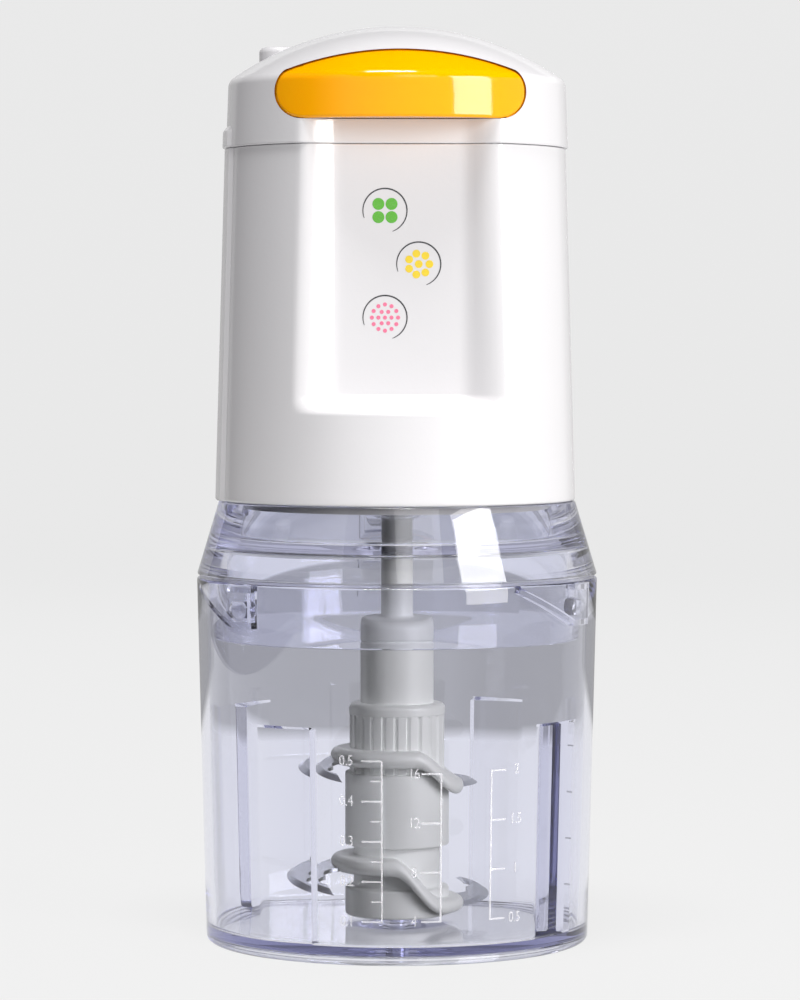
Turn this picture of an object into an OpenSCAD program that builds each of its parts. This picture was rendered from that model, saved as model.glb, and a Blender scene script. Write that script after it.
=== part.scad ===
// Electric food chopper: clear bowl and bayonet lid, two-level blade spindle,
// white motor unit with a front finger recess and a push bar under the dome.
// Millimetres, +Z up, front towards -Y, origin on the table under the bowl.

/* [Bowl] */
// Height of the bowl's rim above the table
bowl_h = 109.2; // [95:0.1:130]
// Outer radius at the rim
bowl_rim_r = 60; // [57:0.1:70]
// Outer radius at the table
bowl_base_r = 57.3; // [52:0.1:58]
// Wall thickness
bowl_wall = 2.6; // [1.8:0.1:3.2]
// Height of the foot ring under the floor
foot_h = 2.7; // [2:0.1:5]
// Width of the foot ring
foot_w = 3.4; // [2.8:0.1:6]
// Thickness of the floor
floor_t = 2.5; // [2:0.1:4]
// Rounding of the bottom edge
base_round = 2; // [1:0.1:2.6]
// Number of baffle ribs
baffle_n = 4; // [2:1:6]
// Height of the baffle ribs above the floor
baffle_h = 63.3; // [40:0.1:70]
// Step of a baffle rib at its crest
baffle_step = 4; // [2:0.1:6]
// Ramp of a baffle rib round the wall, in degrees
baffle_ramp = 18; // [10:1:30]
// Angle of the first crest from the front, in degrees
baffle_crest = -28; // [-40:1:40]

/* [Bayonet] */
// Number of bayonet channels
bay_n = 3; // [2:1:3]
// Angle of a locked boss from the front, in degrees
bay_angle = 65; // [50:1:80]
// Turn that frees the lid, in degrees
bay_turn = 22; // [16:1:26]
// Rise of the lid over that turn
bay_rise = 9.13; // [8:0.01:11]
// Thickness of a channel rib
bay_rib_t = 1.7; // [1.2:0.1:2.2]
// Clear height of the channel
bay_channel_h = 8.6; // [7.8:0.1:9]
// Width of a boss round the skirt
boss_w = 9; // [6:0.1:10]
// Height of a boss
boss_h = 4.8; // [3.6:0.1:5.2]
// Gap between a boss and the bowl's wall
boss_gap = 0.4; // [0.3:0.05:0.8]
// Drop from the bowl's rim to a boss's middle
boss_drop = 7.8; // [7:0.1:9]

/* [Lid] */
// Thickness of the seal ring on the bowl's rim
seal_t = 0.9; // [0.6:0.1:1.4]
// Height of the conical shoulder
lid_h = 21.9; // [18:0.1:28]
// Outer radius at the top of the shoulder
lid_top_r = 53.4; // [51.5:0.1:56]
// Depth of the skirt below the shoulder
skirt_h = 19; // [16:0.1:24]
// Thickness of the skirt
skirt_t = 2.4; // [1.8:0.1:3]
// Gap between the skirt and the bowl's wall
skirt_gap = 2.8; // [2.4:0.1:3.4]
// Height of the lid's floor above the shoulder's lower edge
lid_floor_up = 7.7; // [6:0.1:9]
// Thickness of the lid's floor
lid_floor_t = 2.2; // [1.6:0.1:3]
// Wall round the well that takes the motor unit
well_wall = 3.4; // [2.6:0.1:4]
// Wall of the collar round the spindle's neck
collar_wall = 1.9; // [1.4:0.1:2.6]
// Reach of the collar above and below the floor
collar_reach = 2.4; // [1.5:0.1:3.5]
// Gap between the neck and the collar
collar_gap = 0.6; // [0.4:0.05:1]

/* [Blade spindle] */
// Gap between the bowl's floor boss and the spindle
spindle_gap = 0.3; // [0.2:0.05:0.5]
// Height of the floor boss above the floor
floor_boss_h = 1.7; // [1:0.1:3]
// Radius of the steel blade pin
pin_r = 2.5; // [2:0.1:3]
// Running clearance of the bushes on the pin
pin_gap = 0.05; // [0.02:0.01:0.1]
// Length of the pin above the spindle's lower end
pin_len = 76.8; // [60:0.1:84]
// Wall of the spindle bushes
bush_wall = 1.7; // [1.2:0.1:2]
// Length of one spindle bush
bush_len = 18; // [10:0.5:24]
// Radius of the spindle's core inside the hubs
core_r = 8; // [7:0.1:8.6]
// Radius of both hubs
hub_r = 15.6; // [14.6:0.1:18]
// Radius of the waist above the lower hub
waist_r = 13; // [11:0.1:14]
// Height of the lower hub's drum
lower_drum_h = 9; // [7:0.1:12]
// Height of the lower hub and its waist together
lower_hub_h = 21.6; // [20.5:0.1:25]
// Height of the upper hub's drum
upper_drum_h = 21.9; // [20:0.1:26]
// Radius over the fluted grip
grip_r = 14.45; // [13:0.05:15.4]
// Height of the upper hub from the drum's lower end to the grip's top
upper_hub_h = 42.6; // [40:0.1:48]
// Number of flutes on the grip
flute_n = 24; // [16:1:30]
// Depth of a flute
flute_d = 1.1; // [0.6:0.05:1.5]
// Plain band at the top of the grip
grip_band = 3.4; // [2:0.1:5]
// Radius of the wavy flanges that carry the blades
flange_r = 20; // [18:0.1:22]
// Thickness of a flange
flange_t = 5; // [4:0.1:6]
// Height of the lower flange's level side above the spindle's lower end
lower_flange_up = 16.2; // [13:0.1:18]
// Height of the lower flange's other side
lower_flange_low = 3.6; // [3.1:0.1:6]
// Height of the upper flange's level side above the waist
upper_flange_up = 26.7; // [24:0.1:30]
// Height of the upper flange's other side
upper_flange_low = 17.6; // [15:0.1:20]
// Radius of the shaft above the grip
shoulder_r = 11; // [9:0.1:12.5]
// Length of the shaft's thick part above the grip
shoulder_h = 24.3; // [18:0.1:30]
// Radius of the neck
neck_r = 4.8; // [4.2:0.1:5.4]
// Thickness of the drive tang on top of the neck
tang_t = 3.2; // [2.6:0.1:3.6]
// Height of the drive tang
tang_h = 8.4; // [6:0.1:9]

/* [Blades] */
// Thickness of the steel
blade_t = 1.2; // [0.8:0.1:1.6]
// Width of the ground bevel
bevel_w = 1.8; // [1:0.1:2.5]
// Outer radius of the lower wings' curve
lower_sweep_r = 23.2; // [21:0.1:27]
// Outer radius of the upper wings' curve
upper_sweep_r = 20.2; // [19:0.1:25]
// Upward tilt of the lower right wing, in degrees
wing_tilt = 6; // [0:0.5:8]
// Downward tilt of the left wings towards the front, in degrees
left_tilt = 9; // [0:0.5:12]

/* [Motor housing] */
// Gap where the motor unit rests on the lid
rest_gap = 0.2; // [0.1:0.05:0.4]
// Height of the housing
housing_h = 104.8; // [100:0.1:125]
// Outer radius at the top
housing_top_r = 50.4; // [49:0.1:52.5]
// Wall thickness
housing_wall = 2.4; // [1.8:0.1:3]
// Distance of the recess floor from the axis
recess_y = 38.5; // [37:0.1:42]
// Half width of the recess floor
recess_half_w = 19; // [15:0.1:22]
// Slope of the recess's side walls, in degrees
recess_side = 26.5; // [20:0.5:35]
// Height of the recess floor's lower edge above the housing's lower edge
recess_up = 32.2; // [30:0.1:45]
// Slope of the recess's lower wall, in degrees
recess_slope = 24; // [10:0.5:35]
// Height of the raised pad on the left side
pad_t = 1.1; // [0.6:0.1:1.6]
// Half width of that pad, in degrees
pad_half = 15; // [10:1:18]
// Reach of that pad above the cap's seam
pad_up = 6; // [3:0.1:9]
// Number of cooling slots at the back
vent_n = 9; // [5:2:11]
// Width of a cooling slot
vent_w = 2.4; // [1.5:0.1:3]
// Length of a cooling slot
vent_h = 20; // [12:0.5:30]

/* [Cap] */
// Open seam between housing and cap
seam_gap = 0.15; // [0.05:0.05:0.3]
// Height of the cap from its seam to the apex
cap_h = 36.25; // [34:0.05:42]
// Outer radius at the seam
cap_base_r = 51.1; // [50.4:0.1:53]
// Outer radius below the dome's corner
cap_side_r = 50.4; // [49.6:0.1:51]
// Radius of the dome
dome_r = 85.5; // [82:0.1:92]
// Rounding of the dome's corner
cap_corner = 3.2; // [2.8:0.1:4]
// Wall thickness
cap_wall = 2.4; // [1.8:0.1:2.7]
// Depth of the lip inside the housing
lip_h = 5; // [3:0.1:7]
// Thickness of the lip
lip_t = 1.8; // [1.4:0.1:2.4]
// Gap between the lip and the housing
lip_gap = 0.15; // [0.1:0.05:0.3]
// Place of the cord gland across the dome
gland_x = -35; // [-37:0.5:-28]
// Place of the cord gland towards the back
gland_y = 10; // [6:0.5:24]
// Radius of the cord gland
gland_r = 6.2; // [4.8:0.1:6.6]
// Radius of the bore for the cord
cord_r = 3.25; // [2.5:0.05:3.6]
// Height of the gland's top above the cap's seam
gland_up = 30.85; // [29.5:0.05:31.5]

/* [Button] */
// Height of the button's lower edge above the cap's seam
button_up = 7.15; // [6.5:0.05:8.5]
// Height of the button at its middle
button_h = 20.2; // [18:0.1:21]
// Radius of the button's ends
button_end_r = 8; // [7:0.1:8.4]
// Distance of an end's centre from the middle
button_end_x = 28.5; // [26:0.1:29.5]
// Radius of the curved top edge
button_top_r = 97; // [85:0.5:110]
// Wall thickness
button_wall = 2.2; // [1.6:0.1:2.5]
// Gap round the button
button_gap = 0.35; // [0.25:0.05:0.5]
// Distance of the hinge pin in front of the axis
hinge_y = 33; // [32.4:0.1:33.6]
// Height of the hinge pin above the button's lower edge
hinge_up = 2.7; // [2.5:0.1:3]
// Radius of the hinge pin
hinge_r = 1.5; // [1.2:0.1:1.8]
// Running clearance of the ears on the pin
hinge_gap = 0.05; // [0.02:0.01:0.1]
// Radius of an ear
ear_r = 2.7; // [2.4:0.1:3]
// Thickness of an ear and of a hinge post
ear_t = 3.1; // [2.4:0.1:3.4]
// Height of the switch plunger above the hinge pin
plunger_up = 9; // [7:0.1:10]
// Radius of the switch plunger
plunger_r = 1.5; // [1.2:0.1:1.8]
// Gap between the button's rib and the plunger
plunger_gap = 0.1; // [0.05:0.05:0.2]

/* [Gears] */
// Module of the gear pair
gear_m = 0.8; // [0.78:0.01:0.82]
// Teeth on the motor pinion
pinion_n = 12; // [12:1:12]
// Teeth on the drive gear
drive_n = 33; // [32:1:34]
// Width of the drive gear
gear_w = 6.5; // [5:0.1:8]
// Pressure angle, in degrees
gear_angle = 25; // [24:0.5:26]
// Thinning of each tooth flank, in mm on the pitch circle
gear_slack = 0.07; // [0.05:0.01:0.12]

/* [Motor] */
// Depth of the spigot below the housing
spigot_h = 2.9; // [2:0.1:4]
// Gap between the spigot and the lid's well
spigot_gap = 0.4; // [0.3:0.05:0.8]
// Thickness of the base plate
plate_t = 3; // [2.4:0.1:4]
// Gap between the plates and the housing
plate_gap = 0.3; // [0.2:0.05:0.5]
// Outer radius of the drive coupler
coupler_r = 9; // [8:0.1:10]
// Running clearance of the output bushes
bearing_gap = 0.04; // [0.02:0.01:0.08]
// Wall of the output bushes
output_bush_t = 2.5; // [1.8:0.1:3]
// Radius of the output shaft
out_r = 4; // [3.5:0.1:4.5]
// Radius of the motor shaft
shaft_r = 2.5; // [2:0.1:3]
// Radial thickness of the lower motor bearing
lower_bearing_t = 5.5; // [4.5:0.1:6]
// Height of the lower motor bearing
lower_bearing_h = 5; // [4:0.1:5.4]
// Radial thickness of the upper motor bearing
upper_bearing_t = 4; // [3.2:0.1:5]
// Height of the upper motor bearing
upper_bearing_h = 6; // [5:0.1:7]
// Outer radius of the stator
stator_r = 28; // [26:0.1:29]
// Height of the stator
stator_h = 30; // [24:0.5:34]
// Radius of the armature
armature_r = 15; // [13:0.1:15.4]
// Air gap between armature and stator
air_gap = 0.4; // [0.3:0.05:0.6]
// Number of armature slots
armature_n = 12; // [8:1:14]
// Radius of the commutator
comm_r = 9; // [8:0.1:10]
// Width of a carbon brush
brush_w = 6; // [4.5:0.1:7]
// Height of a carbon brush
brush_h = 7; // [5.5:0.1:8]
// Length of a carbon brush beside the commutator
brush_len = 9; // [6:0.1:11]
// Radius of the cooling fan
fan_r = 21.5; // [18:0.1:22]
// Number of fan blades
fan_n = 9; // [6:1:12]
// Radius of a screw shank
screw_r = 1.5; // [1.2:0.1:1.8]
// Length of a screw in its thread
screw_grip = 6; // [4:0.1:7]
// Length of a stator bolt below the stator
bolt_grip = 12; // [8:0.1:14]

/* [Hidden] */
$fn = 96;
far = 200;
bite = 0.5;

// Heights, from the table up
floor_z = foot_h + floor_t;
boss_top_z = floor_z + floor_boss_h;
hub_z = boss_top_z + spindle_gap;
waist_top_z = hub_z + lower_hub_h;
grip_top_z = waist_top_z + upper_hub_h;
shoulder_top_z = grip_top_z + shoulder_h;
pin_top_z = hub_z + pin_len;
lid_z = bowl_h + seal_t;
lid_floor_z = lid_z + lid_floor_up;
lid_top_z = lid_z + lid_h;
motor_z = lid_top_z + rest_gap;
spigot_z = motor_z - spigot_h;
ledge_z = motor_z + plate_t;
housing_top_z = motor_z + housing_h;
cap_z = housing_top_z + seam_gap;
apex_z = cap_z + cap_h;

// Bowl and bayonet
bowl_slope = (bowl_rim_r - bowl_base_r) / bowl_h;
function bowl_r(z) = bowl_base_r + bowl_slope * z;
rim_in_r = bowl_rim_r - bowl_wall;
skirt_r = rim_in_r - skirt_gap;
boss_z = bowl_h - boss_drop;
bay_in_r = skirt_r + bite;
boss_r = bowl_r(boss_z - boss_h / 2) - bowl_wall - boss_gap;
boss_under_gap = 1.15;
bay_low_z = boss_z - boss_h / 2 - boss_under_gap;
bay_flat_deg = bay_angle - 3.5;
bay_end_deg = bay_angle + boss_w / 2 / boss_r * 180 / PI + 0.6;
bay_lead_deg = bay_angle - bay_turn - 14;
bay_pitch = bay_rise / bay_turn;
baffle_root_r = bowl_base_r - 0.6;

// Lid
well_r = lid_top_r - well_wall;
collar_r = neck_r + collar_gap;
key_w = 8;
key_d = 2.4;
key_gap = 0.4;

// Spindle
bush_out_r = pin_r + pin_gap + bush_wall;
shaft_bore_top_z = pin_top_z + 2;
tang_z = spigot_z - 0.7;
scallop_r = 5.5;
scallop_in = scallop_r - 2.2;
scallop_angles = [160, 177];
lower_high_z = hub_z + lower_flange_up;
lower_low_z = hub_z + lower_flange_low;
upper_high_z = waist_top_z + upper_flange_up;
upper_low_z = waist_top_z + upper_flange_low;
// Centres of a wing's outer and inner curves and the inner radius, in outer radii
wing_outer_at = [-0.231, -0.654];
wing_inner_at = [0.242, -0.988];
wing_inner_k = 1.169;

// Motor unit
recess_z = motor_z + recess_up;
housing_in_r = lid_top_r - housing_wall;
ledge_r = 46;
screw_pcr = 43;
screw_angles = [30, 150, 270];
post_r = 4;
coupler_z = spigot_z + 0.7;
coupler_h = 11.5;
socket_r = neck_r + 0.5;
socket_h = tang_h + 0.6 - (coupler_z - tang_z) + 0.4;
coupler_top_z = coupler_z + coupler_h;
plate_hub_z = coupler_top_z - 2.5;
out_low_z = coupler_z + socket_h + 0.6;
gear_z = coupler_top_z + 0.5;
axis_y = gear_m * (pinion_n + drive_n) / 2;
frame_z = gear_z + gear_w + 3;
frame_t = 3;
frame_r = screw_pcr + 2.2;
frame_hub_z = frame_z + lower_bearing_h + 1;
bush_low_z = frame_z - 1.5;
lower_bearing_r = shaft_r + lower_bearing_t;
upper_bearing_r = shaft_r + upper_bearing_t;
fan_z = frame_z + 7.5;
fan_h = 5;
stator_z = fan_z + fan_h + 7.5;
stator_top_z = stator_z + stator_h;
coil_end = 5.5;
coil_in_r = armature_r + air_gap + 1.8;
coil_out_r = stator_r - 5.2;
bolt_pcr = stator_r - 2.4;
bolt_angles = [45, 135, 225, 315];
comm_z = stator_top_z + 7.5;
comm_h = 12;
brush_z = comm_z + comm_h / 2;
bar_z = comm_z + comm_h + 1.5;
bar_t = 5;
bar_seat_z = bar_z + 1;
shaft_top_z = bar_z + 9.5;

// Cap and button
dome_cz = apex_z - dome_r;
corner_x = cap_side_r - cap_corner;
corner_z = dome_cz + sqrt(pow(dome_r - cap_corner, 2) - pow(corner_x, 2));
gland_top_z = cap_z + gland_up;
gland_seat_z = gland_top_z - 6.1;
gland_foot_z = gland_top_z - 10.6;
neck_wall = 1.0;
button_z = cap_z + button_up;
sill_z = button_z - button_gap;
hinge_z = button_z + hinge_up;
button_back_y = hinge_y + 0.5;
ear_x = button_end_x - 0.1;
post_x = ear_x - ear_t - 0.3;
plunger_z = hinge_z + plunger_up;
plunger_y = hinge_y - 1.7;
switch_y = plunger_y - 2.7;
switch_d = 9.5;

function polar(r, a) = [r * cos(a), r * sin(a)];
function arc(r, a0, a1, n) = [for (i = [0:n]) polar(r, a0 + (a1 - a0) * i / n)];

// Turns an angle measured from the front to the right into one from +X
function from_front(a) = a - 90;

// Solid ring between two heights
module ring(r_out, r_in, z0, z1) {
    difference() {
        translate([0, 0, z0]) cylinder(r = r_out, h = z1 - z0);
        translate([0, 0, z0 - 1]) cylinder(r = r_in, h = z1 - z0 + 2);
    }
}

// Upright rod between two heights
module rod(r, z0, z1) {
    translate([0, 0, z0]) cylinder(r = r, h = z1 - z0);
}

// Extrudes a front view from y = -y_front back to y = -y_back
module from_front_view(y_front, y_back) {
    translate([0, -y_back, 0]) rotate([90, 0, 0]) linear_extrude(y_front - y_back) children();
}

module at_angles(angles, r) {
    for (a = angles) rotate([0, 0, a]) translate([r, 0, 0]) children();
}

// Bowl

module bowl_wall_2d() {
    difference() {
        union() {
            polygon([
                [0, foot_h], [bowl_base_r - foot_w, foot_h], [bowl_base_r - foot_w, 0],
                [bowl_base_r - base_round, 0], [bowl_base_r, base_round],
                [bowl_rim_r, bowl_h], [0, bowl_h]
            ]);
            intersection() {
                translate([bowl_base_r - base_round, base_round]) circle(r = base_round);
                translate([bowl_base_r - base_round, 0]) square(base_round);
            }
        }
        polygon([
            [-1, floor_z], [bowl_r(floor_z) - bowl_wall, floor_z],
            [rim_in_r, bowl_h], [rim_in_r, bowl_h + 1], [-1, bowl_h + 1]
        ]);
    }
}

// One ramped baffle rib, which grows from the wall to its crest
module baffle() {
    in_r = bowl_r(floor_z) - bowl_wall;
    start = from_front(baffle_crest) - baffle_ramp;
    translate([0, 0, floor_z - bite]) linear_extrude(baffle_h + bite)
        polygon(concat(
            arc(baffle_root_r, start, start + baffle_ramp, 8),
            [polar(in_r - baffle_step, start + baffle_ramp)],
            [polar(in_r - baffle_step * 0.45, start + baffle_ramp * 0.5)]
        ));
}

// Two ribs that run level round the wall, climb to the rim at one end and meet at a stop
module bayonet_channel() {
    mid = (bay_flat_deg + bay_lead_deg) / 2;
    lead = (bay_flat_deg - bay_lead_deg) * bay_pitch;
    low_z = bay_low_z - bay_rib_t;
    high_z = bay_low_z + bay_channel_h;
    function flat_x(a) = rim_in_r * sin(a - mid);
    stop_x = flat_x(bay_end_deg);
    end_x = stop_x + bay_rib_t;
    intersection() {
        ring(rim_in_r + bite, bay_in_r, low_z - 1, bowl_h);
        rotate([0, 0, mid]) from_front_view(far, 0) {
            for (z = [low_z, high_z]) polygon([
                [end_x, z], [end_x, z + bay_rib_t],
                [flat_x(bay_flat_deg), z + bay_rib_t], [flat_x(bay_lead_deg), z + bay_rib_t + lead],
                [flat_x(bay_lead_deg), z + lead], [flat_x(bay_flat_deg), z]
            ]);
            translate([stop_x, low_z]) square([bay_rib_t, high_z + bay_rib_t - low_z]);
        }
    }
}

module bowl() {
    color([0.82, 0.83, 0.92, 0.4]) difference() {
        union() {
            rotate_extrude() bowl_wall_2d();
            rod(pin_r + 4, foot_h - 1.9, boss_top_z);
            for (i = [0:baffle_n - 1]) rotate([0, 0, i * 360 / baffle_n]) baffle();
            for (i = [0:bay_n - 1]) rotate([0, 0, i * 360 / bay_n]) bayonet_channel();
        }
        rod(pin_r, foot_h - 1.1, far);
    }
}

module blade_pin() {
    color("silver") rod(pin_r, foot_h - 1.1, pin_top_z);
}

// Lid

module lid_seal() {
    color([0.9, 0.9, 0.92, 0.6]) ring(bowl_rim_r - 0.8, skirt_r + 0.3, bowl_h, lid_z);
}

module lid_2d() {
    skirt_in_r = skirt_r - skirt_t;
    polygon([
        [collar_r, lid_floor_z - collar_reach], [collar_r + collar_wall, lid_floor_z - collar_reach],
        [collar_r + collar_wall, lid_floor_z], [skirt_in_r, lid_floor_z],
        [skirt_in_r, lid_z - skirt_h], [skirt_r, lid_z - skirt_h], [skirt_r, lid_z],
        [bowl_rim_r, lid_z], [lid_top_r, lid_top_z], [well_r, lid_top_z],
        [well_r, lid_floor_z + lid_floor_t], [collar_r + collar_wall, lid_floor_z + lid_floor_t],
        [collar_r + collar_wall, lid_floor_z + lid_floor_t + collar_reach],
        [collar_r, lid_floor_z + lid_floor_t + collar_reach]
    ]);
}

// Oval bayonet boss on the skirt
module bayonet_boss() {
    end_x = (boss_w - boss_h) / 2;
    intersection() {
        ring(boss_r, skirt_r - bite, boss_z - boss_h, boss_z + boss_h);
        rotate([0, 0, bay_angle]) from_front_view(far, 0) translate([0, boss_z]) {
            translate([-end_x, -boss_h / 2]) square([2 * end_x, boss_h]);
            for (s = [-1, 1]) translate([s * end_x, 0]) circle(d = boss_h);
        }
    }
}

// Block in the well that keeps the motor unit from turning
module well_key(w, d, z0, z1) {
    intersection() {
        ring(well_r + bite, well_r - d, z0, z1);
        translate([-far, -w / 2, z0]) cube([2 * far, w, z1 - z0]);
    }
}

module lid() {
    color([0.8, 0.82, 0.92, 0.4]) {
        rotate_extrude() lid_2d();
        well_key(key_w, key_d, lid_floor_z + lid_floor_t - bite, lid_top_z - bite);
        for (i = [0:bay_n - 1]) rotate([0, 0, i * 360 / bay_n]) bayonet_boss();
    }
}

// Blade spindle

// Front view of a wavy flange: level on the left, then down to the right
module wave_2d(z_high, z_low, x0, x1) {
    function ease(t) = t <= 0 ? 0 : t >= 1 ? 1 : (1 - cos(180 * t)) / 2;
    function wave(x) = z_high + (z_low - z_high) * ease((x - x0) / (x1 - x0));
    steps = 28;
    xs = [for (i = [0:steps]) (2 * i / steps - 1) * (flange_r + 1)];
    polygon(concat(
        [for (x = xs) [x, wave(x) + flange_t / 2]],
        [for (i = [steps:-1:0]) [xs[i], wave(xs[i]) - flange_t / 2]]
    ));
}

module flange(z_high, z_low, x0, x1) {
    intersection() {
        from_front_view(far / 2, -far / 2) wave_2d(z_high, z_low, x0, x1);
        rod(flange_r, z_low - flange_t, z_high + flange_t);
    }
}

// One sickle wing on the left, swept forwards, flat at z = 0 with its outer edge ground
module wing(sweep_r) {
    outer = sweep_r * wing_outer_at;
    inner = sweep_r * wing_inner_at;
    inner_r = sweep_r * wing_inner_k;
    intersection() {
        difference() {
            translate([outer[0], outer[1], 0]) cylinder(r1 = sweep_r, r2 = sweep_r - bevel_w, h = blade_t);
            translate([inner[0], inner[1], -1]) cylinder(r = inner_r, h = blade_t + 2);
            for (a = scallop_angles)
                translate([inner[0], inner[1], -1] + (inner_r - scallop_in) * [cos(a), sin(a), 0])
                    cylinder(r = scallop_r, h = blade_t + 2);
        }
        translate([-far, -far / 2, -1]) cube([far - core_r - 2, far, blade_t + 2]);
    }
}

module lower_wings() {
    translate([0, 0, lower_high_z - blade_t / 2]) rotate([left_tilt, 0, 0]) wing(lower_sweep_r);
    translate([0, 0, lower_low_z - blade_t / 2]) rotate([-wing_tilt, 0, 180]) wing(lower_sweep_r);
}

module upper_wings() {
    translate([0, 0, upper_high_z - blade_t / 2]) rotate([left_tilt, 0, 0]) wing(upper_sweep_r);
    translate([0, 0, upper_low_z - blade_t / 2]) rotate([0, 0, 180]) wing(upper_sweep_r);
}

module lower_blade() {
    color("slategray") lower_wings();
}

module upper_blade() {
    color("slategray") upper_wings();
}

module lower_blade_hub() {
    color("lightgray") difference() {
        union() {
            rod(hub_r, hub_z, hub_z + lower_drum_h);
            rod(waist_r, hub_z, waist_top_z);
            intersection() {
                flange(lower_high_z, lower_low_z, -2, 14);
                rod(flange_r + 1, hub_z, waist_top_z);
            }
        }
        rod(core_r, 0, far);
        lower_wings();
    }
}

// Saw-tooth outline of the grip
module flutes_2d() {
    pitch = 360 / flute_n;
    tip_r = grip_r - 0.2;
    polygon([for (i = [0:flute_n - 1]) for (p = [[tip_r, 0], [tip_r, 0.62], [tip_r - flute_d, 0.66]])
        polar(p[0], (i + p[1]) * pitch)]);
}

module upper_blade_hub() {
    band_z = grip_top_z - grip_band;
    edge = grip_band / 2;
    color("lightgray") difference() {
        union() {
            rod(hub_r, waist_top_z, waist_top_z + upper_drum_h);
            translate([0, 0, waist_top_z + upper_drum_h - bite])
                linear_extrude(band_z - waist_top_z - upper_drum_h + 2 * bite) flutes_2d();
            rotate_extrude() {
                translate([0, band_z]) square([grip_r - edge, grip_band]);
                translate([0, band_z]) square([grip_r, edge]);
                translate([grip_r - edge, band_z + edge]) circle(r = edge);
            }
            flange(upper_high_z, upper_low_z, 5, 19);
        }
        rod(core_r, 0, far);
        upper_wings();
    }
}

module blade_shaft() {
    groove_z = shoulder_top_z - 3.3;
    top_in = 1.2;
    color("gainsboro") difference() {
        union() {
            rotate_extrude() polygon([
                [0, hub_z], [core_r, hub_z], [core_r, grip_top_z], [shoulder_r, grip_top_z],
                [shoulder_r, groove_z - 0.4], [shoulder_r - 0.4, groove_z], [shoulder_r, groove_z + 0.4],
                [shoulder_r, shoulder_top_z - top_in], [shoulder_r - top_in, shoulder_top_z],
                [neck_r, shoulder_top_z], [neck_r, tang_z], [0, tang_z]
            ]);
            intersection() {
                rod(neck_r, tang_z - bite, tang_z + tang_h);
                translate([-far / 2, -tang_t / 2, 0]) cube([far, tang_t, 2 * far]);
            }
        }
        rod(bush_out_r, hub_z - 1, shaft_bore_top_z);
    }
}

module spindle_bushes() {
    color("peru") {
        ring(bush_out_r, pin_r + pin_gap, hub_z, hub_z + bush_len);
        ring(bush_out_r, pin_r + pin_gap, pin_top_z - bush_len, pin_top_z);
    }
}

// Housing

// Front finger recess, or the same grown into the wall by one thickness
module recess(grow, z_top) {
    half_w = recess_half_w + grow * tan(recess_side / 2);
    y = grow - recess_y;
    flare = far / 2 / tan(recess_side);
    intersection() {
        translate([0, 0, motor_z]) linear_extrude(z_top - motor_z)
            polygon([[-half_w, y], [half_w, y], [half_w + flare, y - far / 2], [-half_w - flare, y - far / 2]]);
        translate([0, -recess_y, recess_z]) rotate([recess_slope, 0, 0])
            translate([-far, -far, -grow]) cube([2 * far, 2 * far, far]);
    }
}

module housing_cone(grow) {
    translate([0, 0, motor_z])
        cylinder(r1 = lid_top_r + grow, r2 = housing_top_r + grow, h = housing_h);
}

module left_wedge() {
    linear_extrude(2 * far) polygon([[0, 0], polar(far, 180 - pad_half), polar(far, 180 + pad_half)]);
}

module housing_cavity() {
    difference() {
        rotate_extrude() polygon([
            [0, motor_z - 1], [housing_in_r, motor_z - 1], [housing_in_r, ledge_z],
            [ledge_r, ledge_z], [ledge_r, ledge_z + 2.5], [housing_in_r - 0.1, ledge_z + 2.5],
            [housing_top_r - housing_wall, housing_top_z + 1], [0, housing_top_z + 1]
        ]);
        recess(housing_wall, housing_top_z + 2);
    }
}

module housing() {
    vent_z = frame_z + frame_t;
    vent_step = 6;
    color("whitesmoke") difference() {
        union() {
            difference() {
                union() {
                    housing_cone(0);
                    intersection() {
                        housing_cone(pad_t);
                        left_wedge();
                    }
                }
                recess(0, housing_top_z + 1);
                housing_cavity();
            }
            at_angles(screw_angles, 0) {
                translate([screw_pcr, 0, 0]) rod(post_r, ledge_z, frame_z);
                translate([screw_pcr, -1.5, ledge_z]) cube([housing_top_r - 1 - screw_pcr, 3, frame_z - ledge_z]);
            }
        }
        at_angles(screw_angles, screw_pcr) rod(screw_r, ledge_z - 1, frame_z + 1);
        for (i = [0:vent_n - 1]) rotate([0, 0, 90 + (i - (vent_n - 1) / 2) * vent_step])
            translate([ledge_r, -vent_w / 2, vent_z]) cube([far, vent_w, vent_h]);
    }
}

// Cap

module cap_2d(inset, z_low) {
    intersection() {
        translate([0, dome_cz]) circle(r = dome_r - inset);
        polygon([[0, dome_cz], 2 * [corner_x, corner_z - dome_cz] + [0, dome_cz], [0, apex_z + far]]);
    }
    translate([corner_x, corner_z]) circle(r = cap_corner - inset);
    polygon([[0, z_low], [cap_base_r - inset, z_low], [cap_side_r - inset, corner_z], [0, corner_z]]);
}

module cap_form(inset, z_low) {
    rotate_extrude() cap_2d(inset, z_low);
}

// Front view of the push bar, grown or shrunk
module button_2d(grow) {
    z = button_z - grow;
    end_z = button_z + button_end_r;
    end_r = button_end_r + grow;
    top_c = button_z + button_h - button_top_r;
    side_x = button_end_x + 0.62 * end_r;
    intersection() {
        translate([0, top_c]) circle(r = button_top_r + grow, $fn = 360);
        union() {
            translate([-button_end_x, z]) square([2 * button_end_x, far]);
            translate([-side_x, end_z]) square([2 * side_x, far]);
            for (s = [-1, 1]) translate([s * button_end_x, end_z]) circle(r = end_r);
        }
    }
}

// Rod along the button's hinge axis, a little longer than the ears reach
module hinge_rod(r) {
    end_x = ear_x + 0.6;
    translate([-end_x, -hinge_y, hinge_z]) rotate([0, 90, 0]) cylinder(r = r, h = 2 * end_x);
}

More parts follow.
